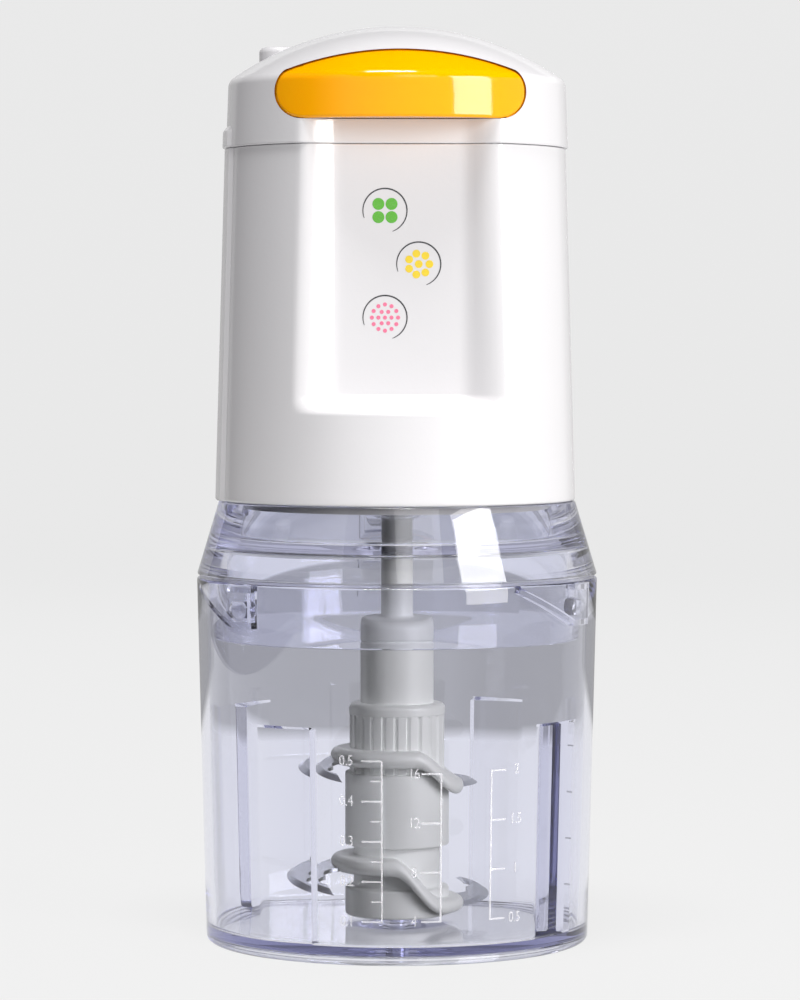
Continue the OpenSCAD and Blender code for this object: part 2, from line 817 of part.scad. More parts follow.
module hinge_posts() {
    for (s = [0, 1]) mirror([s, 0, 0]) {
        translate([post_x - ear_t, -hinge_y - 6.5, cap_z + 1]) cube([ear_t, 8.7, sill_z - cap_z - 1]);
        translate([post_x - ear_t, -hinge_y - 2.2, cap_z + 1]) cube([ear_t, 4.4, hinge_z + 3 - cap_z]);
    }
}

module switch_wall() {
    intersection() {
        translate([-12, switch_d - switch_y, plunger_z - 7]) cube([24, 2.5, far]);
        cap_form(cap_wall / 2, cap_z);
    }
}

module gland_boss() {
    intersection() {
        translate([gland_x, gland_y, 0]) rod(gland_r + 2.7, gland_foot_z + 0.5, apex_z);
        cap_form(0.2, cap_z);
    }
}

// Ring that locates the cap inside the housing
module cap_lip() {
    lip_r = housing_top_r - housing_wall - lip_gap;
    web = 2;
    difference() {
        ring(lip_r, lip_r - lip_t, cap_z - lip_h, cap_z + web);
        recess(housing_wall + lip_gap, cap_z);
    }
    ring(cap_base_r - cap_wall + bite, lip_r - bite, cap_z, cap_z + web);
}

module cap_shell() {
    rotate_extrude() difference() {
        cap_2d(0, cap_z);
        cap_2d(cap_wall, cap_z - 1);
    }
}

module cap_pad() {
    difference() {
        intersection() {
            translate([0, 0, cap_z]) cylinder(r1 = cap_base_r + pad_t, r2 = cap_side_r + pad_t, h = pad_up);
            left_wedge();
        }
        rod(cap_side_r - cap_wall / 2, cap_z - 1, apex_z);
    }
}

// Back and sides of the recess where it runs up under the push bar
module cap_recess_wall() {
    intersection() {
        difference() {
            recess(cap_wall, sill_z);
            recess(0, apex_z);
        }
        rod(cap_side_r - cap_wall / 2, cap_z, apex_z);
    }
}

module cap() {
    color("whitesmoke") difference() {
        union() {
            difference() {
                union() {
                    cap_shell();
                    cap_pad();
                    cap_lip();
                    switch_wall();
                    gland_boss();
                }
                recess(0, sill_z + 1);
                from_front_view(far, button_back_y - 3.5) button_2d(button_gap);
            }
            cap_recess_wall();
            hinge_posts();
        }
        hinge_rod(hinge_r);
        translate([gland_x, gland_y, 0]) {
            rod(gland_r, gland_seat_z, apex_z);
            rod(cord_r + neck_wall, gland_foot_z - 1, apex_z);
        }
    }
}

module cord_gland() {
    round_r = 1.6;
    color("whitesmoke") translate([gland_x, gland_y, 0]) rotate_extrude() difference() {
        union() {
            translate([0, gland_foot_z]) square([cord_r + neck_wall, gland_seat_z - gland_foot_z + bite]);
            translate([0, gland_seat_z]) square([gland_r, gland_top_z - gland_seat_z - round_r]);
            translate([0, gland_seat_z]) square([gland_r - round_r, gland_top_z - gland_seat_z]);
            translate([gland_r - round_r, gland_top_z - round_r]) circle(r = round_r);
        }
        translate([-1, 0]) square([cord_r + 1, far * 2]);
    }
}

// Push bar and switch

module button() {
    rib_w = 4;
    rib_h = 1.2;
    color("orange") difference() {
        union() {
            difference() {
                intersection() {
                    cap_form(0, cap_z);
                    from_front_view(far, button_back_y) button_2d(0);
                }
                intersection() {
                    cap_form(button_wall, cap_z);
                    from_front_view(far, 0) button_2d(-button_wall);
                }
                translate([-far / 2, -hinge_y - 3.5, button_z - 1]) cube([far, far, button_wall + 1.1]);
            }
            for (s = [0, 1]) mirror([s, 0, 0]) translate([ear_x - ear_t, -hinge_y, hinge_z]) {
                rotate([0, 90, 0]) cylinder(r = ear_r, h = ear_t);
                translate([0, -5, button_z - hinge_z]) cube([ear_t, 5, hinge_up]);
            }
            intersection() {
                cap_form(button_wall / 2, cap_z);
                translate([-rib_w / 2, -far, plunger_z - rib_h / 2])
                    cube([rib_w, far - plunger_y - plunger_gap, rib_h]);
            }
        }
        hinge_rod(hinge_r + hinge_gap);
    }
}

module hinge_pin() {
    color("silver") hinge_rod(hinge_r);
}

module switch_body() {
    body_w = 20;
    body_h = 10;
    color("dimgray") difference() {
        translate([-body_w / 2, -switch_y, plunger_z - body_h / 2]) cube([body_w, switch_d, body_h]);
        translate([0, -switch_y - 1, plunger_z]) rotate([-90, 0, 0])
            cylinder(r = plunger_r + hinge_gap, h = 6);
    }
}

module switch_plunger() {
    color("firebrick") translate([0, -plunger_y, plunger_z]) rotate([-90, 0, 0])
        cylinder(r = plunger_r, h = 6);
}

// Base plate and gearbox

module base_plate() {
    spigot_r = well_r - spigot_gap;
    hub_out_r = coupler_r + 2 * output_bush_t;
    color("white") difference() {
        union() {
            rod(spigot_r, spigot_z, motor_z + bite);
            rod(housing_in_r - plate_gap, motor_z, ledge_z);
            rod(hub_out_r, motor_z, plate_hub_z);
        }
        ring(spigot_r - 2.6, hub_out_r, spigot_z - 1, motor_z);
        rod(coupler_r + output_bush_t, spigot_z - 1, far);
        well_key(key_w + 2 * key_gap, key_d + key_gap, spigot_z - 1, motor_z);
        at_angles(screw_angles, screw_pcr) rod(screw_r, spigot_z, far);
    }
}

module screw(z_head, length, up) {
    head_r = screw_r * 1.8;
    head_h = screw_r * 1.3;
    rod(screw_r, up ? z_head : z_head - length, up ? z_head + length : z_head);
    rod(head_r, up ? z_head - head_h : z_head, up ? z_head : z_head + head_h);
}

module base_screws() {
    color("silver") at_angles(screw_angles, screw_pcr) screw(motor_z, plate_t + screw_grip, true);
}

module gear_plate() {
    hub_wall = 3;
    post_wall = 1.1;
    color("gray") difference() {
        union() {
            rod(frame_r, frame_z, frame_z + frame_t);
            rod(out_r + 2 * output_bush_t, bush_low_z, frame_hub_z);
            translate([0, axis_y, 0]) {
                rod(lower_bearing_r + hub_wall, frame_z, frame_hub_z);
                at_angles(bolt_angles, bolt_pcr) rod(screw_r + post_wall, frame_z, stator_z);
            }
        }
        rod(out_r + output_bush_t, bush_low_z - bite, far);
        at_angles(screw_angles, screw_pcr) rod(screw_r, frame_z - 1, far);
        translate([0, axis_y, 0]) {
            rod(lower_bearing_r, frame_z - 1, frame_z + lower_bearing_h);
            rod((shaft_r + lower_bearing_r) / 2, frame_z - 1, far);
            at_angles(bolt_angles, bolt_pcr) rod(screw_r, stator_z - bolt_grip, far);
        }
    }
}

module frame_screws() {
    color("silver") at_angles(screw_angles, screw_pcr) screw(frame_z + frame_t, frame_t + screw_grip, false);
}

module lower_output_bush() {
    color("peru") ring(coupler_r + output_bush_t, coupler_r + bearing_gap, spigot_z + 1, plate_hub_z);
}

module upper_output_bush() {
    color("peru") ring(out_r + output_bush_t, out_r + bearing_gap, bush_low_z, frame_hub_z);
}

// Female coupler: a round socket with two teeth that leave the tang free to turn a little
module drive_coupler() {
    tooth_t = 1.8;
    tooth_in_r = 3;
    color("black") difference() {
        rod(coupler_r, coupler_z, coupler_top_z);
        difference() {
            rod(socket_r, coupler_z - 1, coupler_z + socket_h);
            difference() {
                translate([-tooth_t / 2, -far / 2, coupler_z]) cube([tooth_t, far, socket_h]);
                rod(tooth_in_r, 0, far);
            }
        }
        rod(out_r, out_low_z, far);
    }
}

module output_shaft() {
    color("silver") rod(out_r, out_low_z, frame_hub_z + bite);
}

// Involute gear outline, first tooth on +X
function involute(a) = tan(a) * 180 / PI - a;
module gear_2d(n) {
    pitch_r = gear_m * n / 2;
    base_r = pitch_r * cos(gear_angle);
    root_r = pitch_r - 1.2 * gear_m;
    tip_r = pitch_r + 0.9 * gear_m;
    foot_r = max(base_r, root_r);
    thin = gear_slack / pitch_r * 180 / PI;
    steps = 4;
    function half(r) = 90 / n - thin + involute(gear_angle) - involute(acos(min(1, base_r / r)));
    radii = [for (k = [0:steps]) foot_r + (tip_r - foot_r) * k / steps];
    flank = concat([[root_r - 0.01, half(foot_r)]], [for (r = radii) [r, half(r)]]);
    polygon([for (i = [0:n - 1]) each concat(
        [for (p = flank) polar(p[0], i * 360 / n - p[1])],
        [for (k = [len(flank) - 1:-1:0]) polar(flank[k][0], i * 360 / n + flank[k][1])]
    )]);
}

module drive_gear() {
    color("ivory") difference() {
        translate([0, 0, gear_z]) linear_extrude(gear_w) rotate(90 + 180 / drive_n) gear_2d(drive_n);
        rod(out_r, 0, far);
    }
}

module pinion() {
    color("goldenrod") translate([0, axis_y, 0]) difference() {
        translate([0, 0, gear_z - 0.5]) linear_extrude(gear_w + 1) rotate(-90) gear_2d(pinion_n);
        rod(shaft_r, 0, far);
    }
}

// Motor

module motor_shaft() {
    color("silver") translate([0, axis_y, 0]) rod(shaft_r, gear_z - 1.5, shaft_top_z);
}

module armature_core() {
    slot_w = 2.2;
    slot_in_r = armature_r * 0.55;
    color("dimgray") translate([0, axis_y, stator_z - 0.5]) linear_extrude(stator_h + 1) difference() {
        circle(r = armature_r);
        circle(r = shaft_r);
        for (i = [0:armature_n - 1]) rotate(i * 360 / armature_n)
            translate([slot_in_r, -slot_w / 2]) square([armature_r, slot_w]);
    }
}

module armature_windings() {
    end_h = coil_end - 1;
    end_r = armature_r - 2.5;
    z0 = stator_z - 0.5;
    z1 = stator_top_z + 0.5;
    color("chocolate") translate([0, axis_y, 0]) {
        for (z = [z0 - end_h, z1]) ring(end_r, shaft_r, z, z + end_h);
    }
}

module commutator() {
    slit_w = 0.6;
    color("peru") translate([0, axis_y, 0]) difference() {
        ring(comm_r, shaft_r, comm_z, comm_z + comm_h);
        for (i = [0:armature_n - 1]) rotate([0, 0, (i + 0.5) * 360 / armature_n])
            translate([comm_r - 1.2, -slit_w / 2, comm_z - 1]) cube([far, slit_w, comm_h + 2]);
    }
}

module cooling_fan() {
    color("ivory") translate([0, axis_y, 0]) difference() {
        union() {
            rod(fan_r, fan_z + fan_h - 1.2, fan_z + fan_h);
            rod(shaft_r + 3.5, fan_z, fan_z + fan_h);
            for (i = [0:fan_n - 1]) rotate([0, 0, i * 360 / fan_n])
                translate([shaft_r + 3, -0.6, fan_z]) rotate([0, 0, 14])
                    cube([fan_r - shaft_r - 4, 1.2, fan_h - 0.6]);
        }
        rod(shaft_r, 0, far);
    }
}

module bearing(r_out, z0, z1) {
    groove = 0.8;
    translate([0, axis_y, 0]) rotate_extrude() difference() {
        translate([shaft_r + bearing_gap, z0]) square([r_out - shaft_r - bearing_gap, z1 - z0]);
        for (z = [z0, z1]) translate([shaft_r + (r_out - shaft_r) * 0.4, z - groove])
            square([(r_out - shaft_r) * 0.25, 2 * groove]);
    }
}

module lower_bearing() {
    color("silver") bearing(lower_bearing_r, frame_z, frame_z + lower_bearing_h);
}

module upper_bearing() {
    color("silver") bearing(upper_bearing_r, bar_seat_z, bar_seat_z + upper_bearing_h);
}

// Ring sector that spans an angle either side of a direction
module sector_2d(r_out, r_in, mid, half_a) {
    polygon(concat(arc(r_out, mid - half_a, mid + half_a, 12), arc(r_in, mid + half_a, mid - half_a, 12)));
}

leg_mid = 40;
leg_half = 16;

module stator_core() {
    color("slategray") translate([0, axis_y, stator_z]) linear_extrude(stator_h) difference() {
        circle(r = stator_r);
        circle(r = armature_r + air_gap);
        for (pole = [90, 270], s = [-1, 1]) sector_2d(coil_out_r, coil_in_r, pole + s * leg_mid, leg_half);
        for (a = bolt_angles) translate(polar(bolt_pcr, a)) circle(r = screw_r);
    }
}

module field_coils() {
    color("chocolate") translate([0, axis_y, 0]) for (pole = [90, 270]) {
        for (s = [-1, 1]) translate([0, 0, stator_z - coil_end])
            linear_extrude(stator_h + 2 * coil_end) sector_2d(coil_out_r, coil_in_r, pole + s * leg_mid, leg_half);
        for (z = [stator_z - coil_end, stator_top_z])
            translate([0, 0, z]) linear_extrude(coil_end)
                sector_2d(coil_out_r, coil_in_r, pole, leg_mid);
    }
}

module stator_bolts() {
    color("silver") translate([0, axis_y, 0]) at_angles(bolt_angles, bolt_pcr) {
        rod(screw_r, stator_z - bolt_grip, stator_top_z);
        rod(screw_r * 1.5, stator_top_z, stator_top_z + 2);
    }
}

leg_x = 24;

// Bridge over the commutator that holds the upper bearing
module motor_bracket() {
    leg_w = 12;
    color("dimgray") translate([0, axis_y, 0]) difference() {
        union() {
            difference() {
                intersection() {
                    rod(stator_r, stator_top_z, bar_z + bar_t);
                    translate([-far / 2, -leg_w / 2, 0]) cube([far, leg_w, 2 * far]);
                }
                translate([-leg_x, -far / 2, 0]) cube([2 * leg_x, far, bar_z]);
            }
            rod(upper_bearing_r + 2.5, bar_z + bite, bar_seat_z + upper_bearing_h);
        }
        rod(upper_bearing_r, bar_seat_z, far * 2);
        rod((shaft_r + upper_bearing_r) / 2, bar_z - 1, far * 2);
    }
}

brush_slide = 0.05;

module brush_pair(x0, x1, w, h) {
    for (s = [0, 1]) mirror([s, 0, 0])
        translate([x0, axis_y - w / 2, brush_z - h / 2]) cube([x1 - x0, w, h]);
}

module brush_holders() {
    wall = 1.2;
    color("goldenrod") difference() {
        brush_pair(comm_r + 2, leg_x, brush_w + 2 * wall, brush_h + 2 * wall);
        brush_pair(comm_r, leg_x - wall, brush_w + 2 * brush_slide, brush_h + 2 * brush_slide);
    }
}

module carbon_brushes() {
    color("black") difference() {
        brush_pair(comm_r / 2, comm_r + brush_len, brush_w, brush_h);
        translate([0, axis_y, 0]) rod(comm_r + air_gap / 4, comm_z, comm_z + comm_h);
    }
}

bowl();
blade_pin();
lid_seal();
lid();
blade_shaft();
spindle_bushes();
lower_blade_hub();
lower_blade();
upper_blade_hub();
upper_blade();
housing();
cap();
base_plate();
base_screws();
cord_gland();
button();
hinge_pin();
switch_body();
switch_plunger();
gear_plate();
frame_screws();
lower_output_bush();
upper_output_bush();
drive_coupler();
output_shaft();
drive_gear();
pinion();
motor_shaft();
armature_core();
armature_windings();
commutator();
cooling_fan();
lower_bearing();
upper_bearing();
stator_core();
field_coils();
stator_bolts();
motor_bracket();
brush_holders();
carbon_brushes();
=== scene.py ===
"""Looks of an electric food chopper.

A clear bowl and lid, a grey blade spindle, a white motor unit and an amber push bar. Pieces are modelled
in millimetres, in the part's own frame, and brought to metres as they settle.
"""

from __future__ import annotations

import logging
import math
from contextlib import contextmanager
from dataclasses import dataclass
from enum import Enum
from typing import Callable, Iterator, Optional, Sequence, Union

import bpy
from mathutils import Matrix, Vector

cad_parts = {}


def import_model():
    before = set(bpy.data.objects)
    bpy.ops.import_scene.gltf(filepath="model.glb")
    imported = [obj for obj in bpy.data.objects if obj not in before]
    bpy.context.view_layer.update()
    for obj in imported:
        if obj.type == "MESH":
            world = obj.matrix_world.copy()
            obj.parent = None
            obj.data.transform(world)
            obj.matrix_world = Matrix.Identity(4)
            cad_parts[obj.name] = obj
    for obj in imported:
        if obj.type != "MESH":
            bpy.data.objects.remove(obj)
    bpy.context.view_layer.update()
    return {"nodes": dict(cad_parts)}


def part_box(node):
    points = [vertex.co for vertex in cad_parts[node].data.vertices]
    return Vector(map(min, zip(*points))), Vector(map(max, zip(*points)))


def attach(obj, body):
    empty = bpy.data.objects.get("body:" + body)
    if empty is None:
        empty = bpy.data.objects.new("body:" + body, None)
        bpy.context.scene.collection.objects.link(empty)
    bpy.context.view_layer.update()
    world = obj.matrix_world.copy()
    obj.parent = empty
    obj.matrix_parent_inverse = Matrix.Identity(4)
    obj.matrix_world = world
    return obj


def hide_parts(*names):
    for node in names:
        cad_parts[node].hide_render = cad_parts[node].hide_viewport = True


LOG = logging.getLogger("chopper")

# One millimetre in metres; then, in millimetres, how near points count as one; then the slack of a test.
MM = 0.001
WELD = 0.001
NEAR = 0.01

# Smallest turn between two faces that counts as an edge, in degrees.
EDGE_DEG = 35.0

# Share of half its height that a round end takes, so that its two arcs don't quite meet.
ROUND_END = 0.98

Piece = bpy.types.Object
Outline = list[tuple[float, float]]
Corner = tuple[float, float, float]
Colour = tuple[float, float, float]


def span(node: str) -> tuple[Vector, Vector]:
    """Lowest and highest corner of a CAD node, in millimetres."""
    low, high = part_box(node)
    return low / MM, high / MM


def blend_low(a: float, b: float, soft: float) -> float:
    """Smaller of two lengths, rounded off where they differ by less than soft."""
    share = max(soft - abs(a - b), 0.0) / soft
    return min(a, b) - share * share * soft / 4


def blend_high(a: float, b: float, soft: float) -> float:
    """Larger of two lengths, filled in where they differ by less than soft."""
    return -blend_low(-a, -b, soft)


def ease(share: float) -> float:
    """Smooth step from 0 to 1."""
    t = min(max(share, 0.0), 1.0)
    return t * t * (3 - 2 * t)


def arc(centre: tuple[float, float], radius: float, start: float, end: float, steps: int) -> Outline:
    """Points along a round stretch between two angles in degrees, both ends included."""
    angles = [math.radians(start + (end - start) * i / steps) for i in range(steps + 1)]
    return [(centre[0] + radius * math.cos(a), centre[1] + radius * math.sin(a)) for a in angles]


def rounded(corners: Sequence[Corner], chord_deg: float = 15.0) -> Outline:
    """Closed outline whose corners are arcs.

    Args:
        corners: Each corner's place and its fillet radius, 0 for a sharp one.
        chord_deg: Turn of one chord of an arc, in degrees.

    Returns:
        The outline's points.
    """
    points: Outline = []
    for i, (x, y, radius) in enumerate(corners):
        if radius <= 0:
            points.append((x, y))
            continue
        here = Vector((x, y))
        back = (Vector(corners[i - 1][:2]) - here).normalized()
        ahead = (Vector(corners[(i + 1) % len(corners)][:2]) - here).normalized()
        half = math.acos(max(-1.0, min(1.0, back.dot(ahead)))) / 2
        centre = here + (back + ahead).normalized() * (radius / math.sin(half))
        first = here + back * (radius / math.tan(half)) - centre
        last = here + ahead * (radius / math.tan(half)) - centre
        start = math.degrees(math.atan2(first.y, first.x))
        turn = math.degrees(math.atan2(last.y, last.x)) - start
        turn = (turn + 180) % 360 - 180
        steps = max(2, math.ceil(abs(turn) / chord_deg))
        points += arc((centre.x, centre.y), radius, start, start + turn, steps)
    return points


def block(half: float, low: float, high: float, fillet: float = 0.0) -> Outline:
    """Upright rectangle about the middle of the front view, its corners rounded by a fillet."""
    corners = ((-half, low), (half, low), (half, high), (-half, high))
    return rounded([(x, z, fillet) for x, z in corners])


def divided(outline: Outline, longest: float, closed: bool = True) -> Outline:
    """Outline with points added on its long edges.

    Args:
        outline: The outline.
        longest: Longest edge that stays whole.
        closed: Whether the last point joins the first.

    Returns:
        The finer outline.
    """
    points: Outline = []
    pairs = list(zip(outline, outline[1:] + outline[:1]))
    for (x0, y0), (x1, y1) in pairs if closed else pairs[:-1]:
        parts = max(1, math.ceil(math.hypot(x1 - x0, y1 - y0) / longest))
        points += [(x0 + (x1 - x0) * i / parts, y0 + (y1 - y0) * i / parts) for i in range(parts)]
    return points if closed else points + outline[-1:]


def round_the_axis(turn_deg: float, radius: float, z: float) -> Vector:
    """Point at an angle from the front towards the right, in degrees."""
    turn = math.radians(turn_deg)
    return Vector((radius * math.sin(turn), -radius * math.cos(turn), z))


def turn_of(point: Vector) -> float:
    """Angle of a point from the front towards the right, in degrees."""
    return math.degrees(math.atan2(point.x, -point.y))


class Join(Enum):
    """How one closed mesh acts on another."""

    ADD = "UNION"
    CUT = "DIFFERENCE"
    SHARE = "INTERSECT"


class Bench:
    """Hand tools: every piece starts as a primitive and is shaped in edit mode."""

    @staticmethod
    def clear() -> None:
        """Leave edit mode and deselect everything."""
        if bpy.context.object and bpy.context.object.mode != "OBJECT":
            bpy.ops.object.mode_set(mode="OBJECT")
        bpy.ops.object.select_all(action="DESELECT")

    @classmethod
    def focus(cls, piece: Piece) -> None:
        """Make a piece the only selected one.

        Args:
            piece: The piece.
        """
        cls.clear()
        piece.select_set(True)
        bpy.context.view_layer.objects.active = piece

    @classmethod
    @contextmanager
    def editing(cls, piece: Piece, whole: bool = True) -> Iterator[None]:
        """Edit mode on one piece.

        Args:
            piece: The piece.
            whole: Whether all of it is selected first; else what is selected in it stays so.

        Yields:
            Nothing, as long as edit mode lasts.
        """
        cls.focus(piece)
        bpy.ops.object.mode_set(mode="EDIT")
        if whole:
            bpy.ops.mesh.select_all(action="SELECT")
        yield
        bpy.ops.object.mode_set(mode="OBJECT")

    @classmethod
    def ring_of_edges(cls, name: str, points: Sequence[Vector], filled: bool) -> Piece:
        """Closed loop of edges through given points.

        Args:
            name: Name of the piece.
            points: The loop's points in order.
            filled: Whether a face spans the loop.

        Returns:
            The new piece.
        """
        cls.clear()
        fill = "NGON" if filled else "NOTHING"
        bpy.ops.mesh.primitive_circle_add(vertices=len(points), radius=1.0, fill_type=fill)
        piece = bpy.context.object
        piece.name = name
        for vertex, point in zip(piece.data.vertices, points):
            vertex.co = point
        return piece

    @classmethod
    def lathe(cls, name: str, outline: Outline, steps: int) -> Piece:
        """Solid of revolution about the part's axis.

        Args:
            name: Name of the piece.
            outline: Radius and height of each point of the closed section.
            steps: Number of facets round the axis.

        Returns:
            The new piece.
        """
        piece = cls.ring_of_edges(name, [Vector((r, 0.0, z)) for r, z in outline], filled=False)
        with cls.editing(piece):
            bpy.ops.mesh.spin(steps=steps, angle=math.tau, center=(0, 0, 0), axis=(0, 0, 1))
            bpy.ops.mesh.select_all(action="SELECT")
            bpy.ops.mesh.remove_doubles(threshold=WELD)
            bpy.ops.mesh.delete_loose()
        return cls.face_out(piece)

    @classmethod
    def prism(cls, name: str, outline: Outline, y_from: float, y_to: float) -> Piece:
        """Front view extruded in depth.

        Args:
            name: Name of the piece.
            outline: The view's points, across and up.
            y_from: Depth of the first face.
            y_to: Depth of the other face.

        Returns:
            The new piece.
        """
        piece = cls.ring_of_edges(name, [Vector((x, y_from, z)) for x, z in outline], filled=True)
        with cls.editing(piece):
            bpy.ops.mesh.extrude_region_move(TRANSFORM_OT_translate={"value": (0, y_to - y_from, 0)})
        return cls.face_out(piece)

    @classmethod
    def sheet(cls, name: str, across: int, along: int, place: Callable[[float, float], Vector]) -> Piece:
        """Grid whose points are placed by a rule.

        Args:
            name: Name of the piece.
            across: Number of cells in the first direction.
            along: Number of cells in the second direction.
            place: Gives the point for a pair of shares from -1 to 1.

        Returns:
            The new piece.
        """
        cls.clear()
        bpy.ops.mesh.primitive_grid_add(x_subdivisions=across, y_subdivisions=along, size=2.0)
        piece = bpy.context.object
        piece.name = name
        cls.reshape(piece, lambda point: place(point.x, point.y))
        return piece

    @staticmethod
    def reshape(piece: Piece, move: Callable[[Vector], Vector]) -> None:
        """Move every point of a piece to the place that a rule gives for it."""
        for vertex in piece.data.vertices:
            vertex.co = move(vertex.co.copy())

    @classmethod
    def face_out(cls, piece: Piece) -> Piece:
        """Turn the faces of a closed piece outwards.

        Args:
            piece: The piece.

        Returns:
            The piece.
        """
        with cls.editing(piece):
            bpy.ops.mesh.normals_make_consistent(inside=False)
        return piece

    @classmethod
    def thicken(cls, sheet: Piece, move: Callable[[Vector], Vector]) -> Piece:
        """Close a sheet by a second side.

        Args:
            sheet: The sheet.
            move: Gives the place on the second side for a point of the sheet.

        Returns:
            The closed piece.
        """
        with cls.editing(sheet):
            bpy.ops.mesh.extrude_region_move(TRANSFORM_OT_translate={"value": (0, 0, 0)})
        for vertex in (v for v in sheet.data.vertices if v.select):
            vertex.co = move(vertex.co.copy())
        return cls.face_out(sheet)

    @classmethod
    def copies(cls, piece: Piece, turns_deg: Sequence[float]) -> Piece:
        """One mesh of a piece turned about the axis to each of some angles.

        Args:
            piece: The piece as first modelled, which is used up.
            turns_deg: The angles, in degrees.

        Returns:
            The joined piece.
        """
        made = []
        for turn in turns_deg:
            cls.focus(piece)
            bpy.ops.object.duplicate()
            copy = bpy.context.object
            copy.data.transform(Matrix.Rotation(math.radians(turn), 4, "Z"))
            made.append(copy)
        bpy.data.objects.remove(piece, do_unlink=True)
        return cls.joined(made)

    @classmethod
    def joined(cls, pieces: Sequence[Piece]) -> Piece:
        """Several pieces made one.

        Args:
            pieces: The pieces.

        Returns:
            The first of them, which takes up the others.
        """
        cls.focus(pieces[0])
        for piece in pieces[1:]:
            piece.select_set(True)
        if len(pieces) > 1:
            bpy.ops.object.join()
        return pieces[0]

    @classmethod
    def apply(cls, piece: Piece, kind: str, **settings: object) -> None:
        """Add a modifier and apply it.

        Args:
            piece: The piece.
            kind: The modifier's type.
            **settings: The modifier's settings.
        """
        modifier = piece.modifiers.new(kind.lower(), kind)
        for key, value in settings.items():
            setattr(modifier, key, value)
        cls.focus(piece)
        bpy.ops.object.modifier_apply(modifier=modifier.name)

    @classmethod
    def combine(cls, piece: Piece, tool: Piece, how: Join) -> None:
        """Add a mesh to a piece, cut it away or keep what both share; the tool is used up."""
        cls.apply(piece, "BOOLEAN", object=tool, operation=how.value, solver="EXACT")
        bpy.data.objects.remove(tool, do_unlink=True)

    @classmethod
    def soften(cls, piece: Piece, width: float, segments: int = 2) -> None:
        """Round a piece's sharp edges with a narrow bevel."""
        limit = math.radians(EDGE_DEG)
        cls.apply(piece, "BEVEL", width=width, segments=segments, limit_method="ANGLE", angle_limit=limit)

    @classmethod
    def settle(
        cls,
        piece: Piece,
        body: str,
        finish: "Finish",
        replaced: Sequence[str] = (),
        smooth_deg: float = 40.0,
    ) -> None:
        """Bring a finished piece to metres, dress it and let it ride.

        Args:
            piece: The piece, in millimetres.
            body: The CAD body that carries it.
            finish: Its finish.
            replaced: CAD nodes that it stands for.
            smooth_deg: Largest turn between faces that shade as one, in degrees.
        """
        piece.data.transform(Matrix.Scale(MM, 4))
        cls.focus(piece)
        bpy.ops.object.shade_smooth_by_angle(angle=math.radians(smooth_deg))
        piece.data.materials.clear()
        piece.data.materials.append(finish.material())
        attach(piece, body)
        if replaced:
            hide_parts(*replaced)
        LOG.info("%s rides on %s with %d faces", piece.name, body, len(piece.data.polygons))


class Value:
    """A shader output that Python operators work with."""

    def __init__(self, graph: "Graph", socket: bpy.types.NodeSocket) -> None:
        """Wrap an output socket of a graph."""
        self.graph = graph
        self.socket = socket

    def _math(self, operation: str, first: "Number", second: "Number") -> "Value":
        """Result of a new Math node."""
        return self.graph.out(0, "ShaderNodeMath", {"operation": operation}, {0: first, 1: second})

    def __add__(self, other: "Number") -> "Value":
        """Sum."""
        return self._math("ADD", self, other)

    def __radd__(self, other: "Number") -> "Value":
        """Sum, the other way round."""
        return self._math("ADD", other, self)

    def __sub__(self, other: "Number") -> "Value":
        """Difference."""
        return self._math("SUBTRACT", self, other)

    def __mul__(self, other: "Number") -> "Value":
        """Product."""
        return self._math("MULTIPLY", self, other)


Number = Union[Value, float]
Input = Union[Value, float, tuple]
Key = Union[str, int]
Settings = Optional[dict[str, object]]
Sockets = Optional[dict[Key, Input]]


